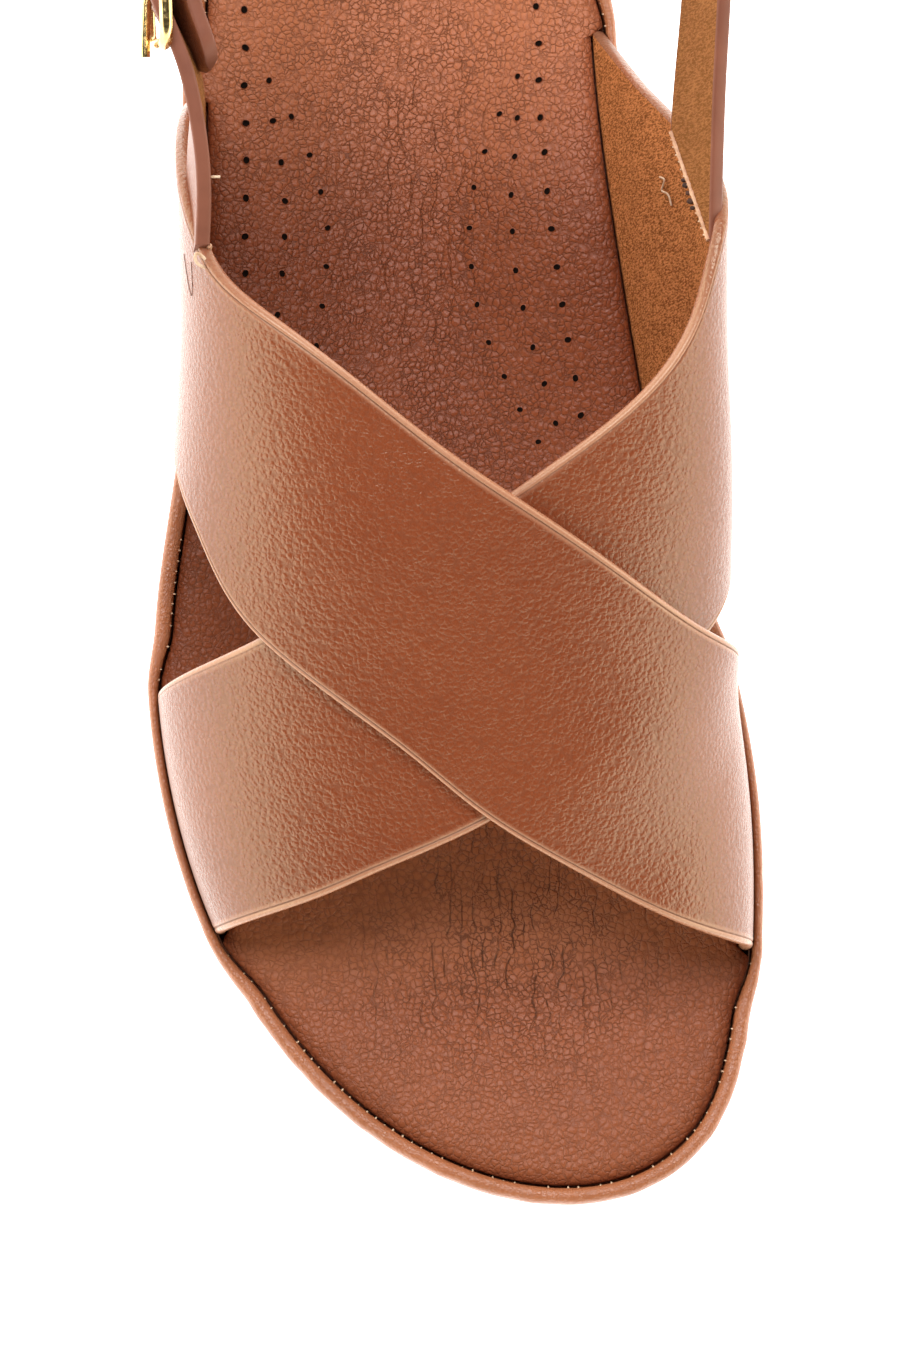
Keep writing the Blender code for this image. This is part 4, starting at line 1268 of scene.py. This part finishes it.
# Darker copy of the camel lining for the sling and buckle strap, darkened as painted shade on their inner
# faces
SHADED_LINING_TONES = ((0.165, 0.057, 0.0165), (0.3, 0.114, 0.04))
PAINT_TONES = ((0.15, 0.047, 0.028), (0.185, 0.06, 0.036))
SLING_WIDE = 12.0
SLING_THICK = 2.2
SLING_ROWS = 200
SLING_CORNER = 0.45
SLING_CORNER_STEPS = 3
SLING_TIP_TALL = (5.0, 0.04)
SLING_TIP_THIN = (1.4, 0.01)

# Sling, medial sewn end round the heel to its tip: x, station, height, outward lean, skew of the cut
SLING = (
    (35.3, 150.0, 74.6, 31.0, 8.0),
    (35.9, 166.0, 80.2, 28.0, 2.0),
    (36.4, 190.0, 87.0, 22.0, 0.0),
    (27.6, 219.0, 91.0, 12.0, 0.0),
    (10.0, 243.0, 92.0, 6.0, 0.0),
    (-9.0, 250.0, 92.0, 5.0, 0.0),
    (-28.0, 241.0, 91.0, 2.0, 0.0),
    (-40.0, 217.0, 88.6, -3.0, 0.0),
    (-42.2, 196.0, 85.6, -5.0, 0.0),
    (-41.8, 182.0, 83.0, -13.0, 0.0),
    (-39.7, 173.5, 81.3, -14.0, 0.0),
    (-36.9, 166.0, 79.6, -14.0, 0.0),
)


def sling_frames(table, steps):
    """Centre, direction, width direction and outward direction along a standing strap, and its cut's skew."""
    rows = np.array(table)
    run = run_length(rows[:, :2])
    at = np.linspace(0.0, run[-1], steps + 1)
    x, station, height, lean, skew = (smooth(run, values, at) for values in rows.T)
    centre = np.column_stack([x, station - LENGTH / 2, height])
    along = unit(np.gradient(centre, axis=0))
    side = unit(np.cross(along, [0.0, 0.0, 1.0]))
    rise = np.cross(side, along)
    angle = np.radians(lean)[:, None]
    up = rise * np.cos(angle) + side * np.sin(angle)
    out = side * np.cos(angle) - rise * np.sin(angle)
    return centre, along, up, out, skew


def painted_edge():
    """Brown edge paint on a cut strap, smooth with a faint tooth."""
    made, tree, shader = new_finish("edge_paint", roughness=0.5, specular=0.25)
    plug(tree, shader["Base Color"], drifted(tree, PAINT_TONES, 120.0))
    bumped(tree, shader, noise(tree, own_place(tree), 1300.0), 0.03)
    return made


SLING_LEATHER = rand_leather("sling_leather", SLING_TONES, roughness=0.42, scale=1500.0, depth=0.08)
EDGE_PAINT = painted_edge()
# Shaded copy of the camel lining: its tones are painted shade
SHADED_SLING_LINING = lining_leather("sling_lining_shaded", SHADED_LINING_TONES)


def rounded_loop(half_long, half_tall, radius, steps):
    """Points round a rectangle with rounded corners, and the outward direction at each."""
    points = []
    directions = []
    for side_long, side_tall, start in ((1, 1, 0.0), (-1, 1, 0.5), (-1, -1, 1.0), (1, -1, 1.5)):
        corner = np.array([side_long * (half_long - radius), side_tall * (half_tall - radius)])
        for turn in math.pi * (start + np.linspace(0.0, 0.5, steps + 1)):
            away = np.array([math.cos(turn), math.sin(turn)])
            points.append(corner + radius * away)
            directions.append(away)
    return np.array(points), np.array(directions)


def on_standing(frames, high, far):
    """Points up and out from the middle of a standing strap, slid along by its skewed cut."""
    centre, along, up, out, skew = (values[:, None] for values in frames)
    slide = -2.0 * high / SLING_WIDE * skew
    return centre + up * high[..., None] + out * far[..., None] + along * slide[..., None]


def rounded_tip(from_tip, reach, least):
    """Share of the full size near a rounded tip."""
    return np.sqrt(np.clip(1 - (1 - np.clip(from_tip / reach, 0, 1)) ** 2, least, 1))[:, None]


def standing_strap(name, frames, lined_side, node_name):
    """Flat strap standing on edge, with rounded arrises, painted edges, grain outside and lining inside."""
    loop = rounded_loop(SLING_WIDE / 2, SLING_THICK / 2, SLING_CORNER, SLING_CORNER_STEPS)[0]
    kind = np.full(len(loop), 2)
    kind[SLING_CORNER_STEPS] = int(lined_side > 0)
    kind[3 * SLING_CORNER_STEPS + 2] = int(lined_side < 0)
    run = run_length(frames[0])
    high = loop[:, 0] * rounded_tip(run[-1] - run, *SLING_TIP_TALL)
    far = loop[:, 1] * rounded_tip(run[-1] - run, *SLING_TIP_THIN)
    points = on_standing(frames, high, far)
    total, count = high.shape
    faces = ring_faces(total, count) + end_caps(total, count)
    index = np.concatenate([np.tile(kind, total - 1), [2, 2]])
    finishes = [SLING_LEATHER, SHADED_SLING_LINING, EDGE_PAINT]
    made = add_piece(name, points.reshape(-1, 3), faces, finishes, index, sharp=40.0)
    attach(made, "root")
    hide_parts(node_name)


sling_run = sling_frames(SLING, SLING_ROWS)
standing_strap("heel_sling", sling_run, -1, "sling")

# Buckle strap: short strap of the same make, sewn inside the lateral quarter. It passes inside the buckle's
# front bar and over its hinge bar, and its tail lies in the keeper on the sling.

BUCKLE_STRAP_ROWS = 90

# Buckle strap, lateral sewn end back through the buckle to its tail: x, station, height, outward lean, skew
BUCKLE_STRAP = (
    (-38.5, 139.5, 71.3, 8.0, -3.0),
    (-38.5, 156.0, 76.8, 7.0, 0.0),
    (-39.6, 166.0, 79.6, -6.0, 0.0),
    (-43.3, 174.0, 81.4, -2.0, 0.0),
    (-46.4, 183.0, 83.2, 3.0, 0.0),
    (-47.0, 190.0, 84.5, 4.0, 0.0),
    (-45.3, 200.0, 86.2, 4.0, 0.0),
    (-43.9, 208.0, 87.4, 3.0, 0.0),
)
buckle_run = sling_frames(BUCKLE_STRAP, BUCKLE_STRAP_ROWS)
standing_strap("strap_to_buckle", buckle_run, 1, "buckle_strap")

# Buckle: frame of bent brass-coloured wire, with a wire prong that hooks over its front bar.
# The prong goes through a slit in the buckle strap.

BRASS_TONES = ((0.76, 0.5, 0.2), (0.86, 0.62, 0.3))
BUCKLE_WIRE = 1.0
BUCKLE_TALL = 17.0
BUCKLE_CORNER = 3.0
BUCKLE_CORNER_STEPS = 8
PRONG_WIRE = 0.75
PRONG_BOW = 0.5
PRONG_TIP = 1.6
FRONT_BAR_STATION = 170.0
HINGE_BAR_STATION = 184.0
LATERAL_FROM = -20.0
WIRE_SIDES = 18


def frame_at(frames, station):
    """Centre, direction, width direction and outward direction of a strap at a lateral station."""
    centre = frames[0]
    lateral = np.where(centre[:, 0] < LATERAL_FROM)[0]
    order = lateral[np.argsort(centre[lateral, 1])]
    at = station - LENGTH / 2
    rows = [values[order].T for values in frames[:4]]
    return [np.array([np.interp(at, centre[order, 1], part) for part in row]) for row in rows]


def wire(name, path, radius, closed, finish, node_name):
    """Round wire along a path that lies close to one plane."""
    path = np.asarray(path, float)
    ahead = np.roll(path, -1, 0) - np.roll(path, 1, 0)
    if not closed:
        ahead[0] = path[1] - path[0]
        ahead[-1] = path[-1] - path[-2]
    level = np.linalg.svd(path - path.mean(axis=0))[2][2]
    flat = np.cross(unit(ahead), level)
    turns = np.linspace(0.0, 2 * math.pi, WIRE_SIDES, endpoint=False)
    points = np.stack([path + radius * (flat * math.cos(t) + level * math.sin(t)) for t in turns], axis=1)
    faces = ring_faces(len(path), WIRE_SIDES, closed)
    if not closed:
        faces += end_caps(len(path), WIRE_SIDES)
    made = add_piece(name, points.reshape(-1, 3), faces, [finish])
    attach(made, "root")
    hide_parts(node_name)


def polished_brass():
    """Brass-coloured plating with faint polishing marks."""
    made, tree, shader = new_finish("buckle_brass", roughness=0.2, specular=0.5, metallic=1.0)
    plug(tree, shader["Base Color"], drifted(tree, BRASS_TONES, 300.0))
    marks = noise(tree, own_place(tree), 1800.0)
    plug(tree, shader["Roughness"], ranged(tree, marks, 0.3, 0.7, 0.14, 0.28))
    return made


def make_buckle():
    """Frame round the buckle strap and the prong through its slit."""
    brass = polished_brass()
    reach = SLING_THICK / 2 + 2 * GAP + BUCKLE_WIRE
    sling_middle, _, sling_up, outward = frame_at(sling_run, HINGE_BAR_STATION)
    front = frame_at(buckle_run, FRONT_BAR_STATION)[0] + outward * (reach + GAP)
    hinge = sling_middle + outward * reach
    middle = (front + hinge) / 2
    along = unit(hinge - front)
    up = unit(sling_up - along * along.dot(sling_up))
    half_long = np.linalg.norm(hinge - front) / 2
    half_tall = BUCKLE_TALL / 2 - BUCKLE_WIRE
    loop = rounded_loop(half_long, half_tall, BUCKLE_CORNER, BUCKLE_CORNER_STEPS)[0]
    path = [middle + along * long + up * tall for long, tall in loop]
    wire("buckle_wire", path, BUCKLE_WIRE, True, brass, "buckle_frame")
    rest = BUCKLE_WIRE + GAP + PRONG_WIRE
    root = hinge - along * rest
    tip = front + outward * rest
    prong = [root, (root + tip) / 2 + outward * PRONG_BOW, tip, tip - along * PRONG_TIP]
    wire("buckle_tongue", prong, PRONG_WIRE, False, brass, "buckle_prong")


make_buckle()

# Keeper: small loop of the sling's leather, glued closed. It goes round the sling and the tail of the
# buckle strap.

KEEPER_LONG = 5.0
KEEPER_THICK = 1.2
KEEPER_ROUND = 1.0
KEEPER_ROUND_STEPS = 6
KEEPER_ARRIS = 0.35
KEEPER_ARRIS_STEPS = 3
KEEPER_STATION = 199.0


def make_keeper():
    """Rounded leather loop swept from a small rounded section."""
    inner, along, up, out = frame_at(sling_run, KEEPER_STATION)
    outer = frame_at(buckle_run, KEEPER_STATION)[0]
    middle = (inner + outer) / 2
    half = KEEPER_THICK / 2
    across = abs((outer - inner).dot(out)) / 2 + SLING_THICK / 2 + 3 * GAP
    tall = SLING_WIDE / 2 + 2 * GAP
    path, turned = rounded_loop(across + half, tall + half, KEEPER_ROUND, KEEPER_ROUND_STEPS)
    section = rounded_loop(KEEPER_LONG / 2, half, KEEPER_ARRIS, KEEPER_ARRIS_STEPS)[0]
    points = []
    for place, away in zip(path, turned):
        for long, thick in section:
            place_out, place_up = place + away * thick
            points.append(middle + along * long + out * place_out + up * place_up)
    made = add_piece("keeper_loop", points, ring_faces(len(path), len(section), True), [SLING_LEATHER])
    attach(made, "root")
    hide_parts("keeper")


make_keeper()

# Sewn ends: sling and buckle strap are cut raw and sewn down inside the quarters with pale thread. Raw edges,
# stitches, a dark knot, loose tails of thread and the seam's mark on the lateral quarter show.

RAW_TONES = ((0.4, 0.2, 0.12), (0.6, 0.35, 0.23))
DARK_TONES = ((0.03, 0.012, 0.008), (0.08, 0.028, 0.016))
RAW_EDGE = 0.36
RAW_EDGE_FRAY = 0.12
RAW_EDGE_STEPS = 60
END_STITCH_PITCH = 0.75
END_STITCH_SPAN = (-5.2, 5.3)
END_STITCH_OFF = 0.75
END_STITCH_PROUD = 0.2
END_STITCH_STRAY = 0.06
END_STITCH = (0.3, 0.14, 0.14)
MEDIAL_THREAD = 0.15
LATERAL_THREAD = 0.24
STUB_THREAD = 0.21
THREAD_SIDES = 8
THREAD_ASIDE = (0.31, 0.17, 0.93)
LATERAL_TAIL_STEPS = 40
MEDIAL_TAIL_STEPS = 30
SEAM_MARK = 0.07
SEAM_MARK_STEPS = 50

# Stub of thread outside the buckle strap: station, height up the strap, distances out
STUB_STATION = 151.5
STUB_UP = 4.6
STUB_OUT = (1.0, 1.8, 2.6)

# Loose tail on the lateral cut end, from the middle of the end: along, outward, up
LATERAL_TAIL = (
    (0.8, -0.4, 6.1),
    (1.7, 0.9, 6.4),
    (0.5, 1.0, 6.5),
    (-0.4, -0.3, 6.2),
    (-1.2, -1.3, 5.6),
    (-2.2, -0.7, 5.0),
    (-2.8, 0.0, 4.2),
)

# Loose tail on the medial lining: station, turn, height over the last
MEDIAL_TAIL = (
    (155.6, 0.880, -0.2),
    (154.6, 0.868, -0.6),
    (153.6, 0.878, -0.3),
    (152.6, 0.866, -0.5),
    (150.8, 0.864, -0.2),
)

# Mark of the seam on the grain side of the lateral quarter: station, turn, height over the last
LATERAL_MARK = (
    (141.0, 0.225, 2.0),
    (137.5, 0.231, 2.0),
    (134.6, 0.240, 2.0),
    (137.5, 0.246, 2.0),
    (139.2, 0.247, 2.0),
)

# Dark knot beside the medial cut: height up the cut, distance off it, size
KNOT = (
    (-1.2, 0.9, 0.5),
    (-0.6, 0.8, 0.66),
    (0.2, 0.8, 0.56),
    (0.9, 1.0, 0.7),
    (1.5, 1.1, 0.5),
)
KNOT_PROUD = 0.35
KNOT_FLAT = 0.7


def tube_mesh(points, faces, route, radii):
    """Adds one closed round tube along a route."""
    ahead = unit(np.gradient(route, axis=0))
    first = unit(np.cross(ahead, THREAD_ASIDE))
    second = np.cross(ahead, first)
    base = len(points)
    for place, one, two, radius in zip(route, first, second, radii * np.ones(len(route))):
        for turn in np.linspace(0.0, 2 * math.pi, THREAD_SIDES, endpoint=False):
            points.append(place + radius * (one * math.cos(turn) + two * math.sin(turn)))
    faces += ring_faces(len(route), THREAD_SIDES, start=base) + end_caps(len(route), THREAD_SIDES, base)


def cut_line(frames, face, high):
    """Points along the cut end of a standing strap, on one of its faces."""
    far = np.full_like(high, face * SLING_THICK / 2)
    return on_standing([values[:1] for values in frames], high[None], far[None])[0]


def sewn_piece(name, points, faces, finish):
    """Joins threads or raw edges to the body."""
    made = add_piece(name, points, faces, [finish])
    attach(made, "root")


def make_raw_edges(draw):
    """Pale frayed edges of the two cut ends."""
    high = np.linspace(-0.5, 0.5, RAW_EDGE_STEPS) * (SLING_WIDE - 2 * SLING_CORNER)
    points = []
    faces = []
    for frames, face in ((sling_run, -1), (buckle_run, 1)):
        fray = RAW_EDGE * (1.0 + draw.normal(0.0, RAW_EDGE_FRAY, len(high)))
        tube_mesh(points, faces, cut_line(frames, face, high), fray)
    sewn_piece("raw_edges", points, faces, thread_finish("raw_edge", RAW_TONES))


def make_end_threads(draw):
    """Stitches along the medial cut, the loose tails and the stub."""
    points = []
    faces = []
    _, along, up, out = (values[0] for values in sling_run[:4])
    axes = np.array([up, along, out]) * np.array(END_STITCH)[:, None]
    for at in np.arange(*END_STITCH_SPAN, END_STITCH_PITCH):
        place = cut_line(sling_run, -1, np.array([at]))[0] - along * END_STITCH_OFF - out * END_STITCH_PROUD
        bead_mesh(points, faces, place + draw.normal(0.0, END_STITCH_STRAY, 3), axes)
    centre, along, up, out = (values[0] for values in buckle_run[:4])
    tail = curve_through(LATERAL_TAIL, LATERAL_TAIL_STEPS)
    lateral = centre + along * tail[:, :1] - out * tail[:, 1:2] + up * tail[:, 2:]
    tube_mesh(points, faces, lateral, LATERAL_THREAD)
    tube_mesh(points, faces, over_last(*curve_through(MEDIAL_TAIL, MEDIAL_TAIL_STEPS).T), MEDIAL_THREAD)
    centre, _, up, out = frame_at(buckle_run, STUB_STATION)
    stub = np.array([centre + up * STUB_UP + out * reach for reach in STUB_OUT])
    tube_mesh(points, faces, stub, STUB_THREAD)
    sewn_piece("end_threads", points, faces, PALE_THREAD)


def make_dark_threads():
    """Knot beside the medial cut and the seam's mark on the lateral quarter."""
    points = []
    faces = []
    _, along, up, out = (values[0] for values in sling_run[:4])
    for at, off, size in KNOT:
        place = cut_line(sling_run, -1, np.array([at]))[0] - along * off - out * KNOT_PROUD
        bead_mesh(points, faces, place, (up * size, along * size * KNOT_FLAT, out * size * KNOT_FLAT))
    tube_mesh(points, faces, over_last(*curve_through(LATERAL_MARK, SEAM_MARK_STEPS).T), SEAM_MARK)
    sewn_piece("dark_threads", points, faces, thread_finish("dark_thread", DARK_TONES))


sewing_draw = np.random.default_rng(23)
make_raw_edges(sewing_draw)
make_end_threads(sewing_draw)
make_dark_threads()

# Studio: plain pale lit floor inside a soft white surround, bright at the two sides and dim overhead,
# with one large soft panel high behind the heel.

FLOOR_TONE = 0.9
FLOOR_HALF = 4.0
FLOOR_GAP = 0.0003
FLOOR_GLOW = 1.6
SURROUND_TOP = 0.06
SURROUND_ENDS = 2.3
SURROUND_SIDES = 5.0
SURROUND_TONE = (1.0, 1.05, 0.88)
SURROUND_BAND = (0.64, 0.24)
PANEL_PLACE = (-0.1, 0.36, 1.05)
PANEL_TARGET = (0.0, 0.0, 0.03)
PANEL_SIZE = (0.8, 0.55)
PANEL_POWER = 14.0


def make_floor():
    """Plain pale floor, lit a little from below."""
    pale, tree, shader = new_finish("pale_floor", roughness=0.9, specular=0.1)
    plug(tree, shader["Base Color"], (FLOOR_TONE, FLOOR_TONE, FLOOR_TONE))
    plug(tree, shader["Emission Color"], WHITE)
    plug(tree, shader["Emission Strength"], FLOOR_GLOW)
    shape = bmesh.new()
    bmesh.ops.create_grid(shape, x_segments=1, y_segments=1, size=FLOOR_HALF)
    mesh = bpy.data.meshes.new("floor")
    shape.to_mesh(mesh)
    shape.free()
    mesh.materials.append(pale)
    made = bpy.data.objects.new("floor", mesh)
    made.location.z = -FLOOR_GAP
    bpy.context.collection.objects.link(made)


def make_surround():
    """White surround whose brightness falls off overhead and towards the toe and heel ends."""
    made = bpy.data.worlds.new("studio_surround")
    made.use_nodes = True
    tree = made.node_tree
    background = tree.nodes["Background"].inputs
    look = node(tree, "ShaderNodeTexCoord").outputs["Generated"]
    parts = node(tree, "ShaderNodeSeparateXYZ", Vector=look).outputs
    sides = times(tree, times(tree, parts["X"], parts["X"]), SURROUND_SIDES - SURROUND_ENDS)
    around = plus(tree, sides, SURROUND_ENDS - SURROUND_TOP)
    band = ranged(tree, parts["Z"], *SURROUND_BAND)
    plug(tree, background["Strength"], plus(tree, times(tree, around, band), SURROUND_TOP))
    plug(tree, background["Color"], SURROUND_TONE)
    bpy.context.scene.world = made


def make_panel():
    """Large soft panel high behind the heel."""
    light = bpy.data.lights.new("heel_panel", "AREA")
    light.shape = "RECTANGLE"
    light.size, light.size_y = PANEL_SIZE
    light.energy = PANEL_POWER
    made = bpy.data.objects.new("heel_panel", light)
    made.location = PANEL_PLACE
    away = np.array(PANEL_PLACE) - np.array(PANEL_TARGET)
    across = math.atan2(away[0], math.hypot(away[1], away[2]))
    made.rotation_euler = (-math.atan2(away[1], away[2]), across, 0.0)
    made.visible_camera = False
    bpy.context.collection.objects.link(made)


make_floor()
make_surround()
make_panel()
bpy.context.scene.view_settings.view_transform = "Standard"

# Camera: almost straight above, a little towards the toe, with the heel cut off by the frame.

CAMERA_TARGET = (-0.00118, -0.0451, 0.025)
CAMERA_AWAY = 0.75
CAMERA_ELEVATION = math.radians(83.0)
CAMERA_LENS = 127.4

lens = bpy.data.cameras.new("camera")
lens.lens = CAMERA_LENS
lens.sensor_width = 36.0
lens.clip_start = 0.01
camera = bpy.data.objects.new("camera", lens)
camera.location = (
    CAMERA_TARGET[0],
    CAMERA_TARGET[1] - CAMERA_AWAY * math.cos(CAMERA_ELEVATION),
    CAMERA_TARGET[2] + CAMERA_AWAY * math.sin(CAMERA_ELEVATION),
)
camera.rotation_euler = (math.pi / 2 - CAMERA_ELEVATION, 0.0, 0.0)
bpy.context.collection.objects.link(camera)
bpy.context.scene.camera = camera
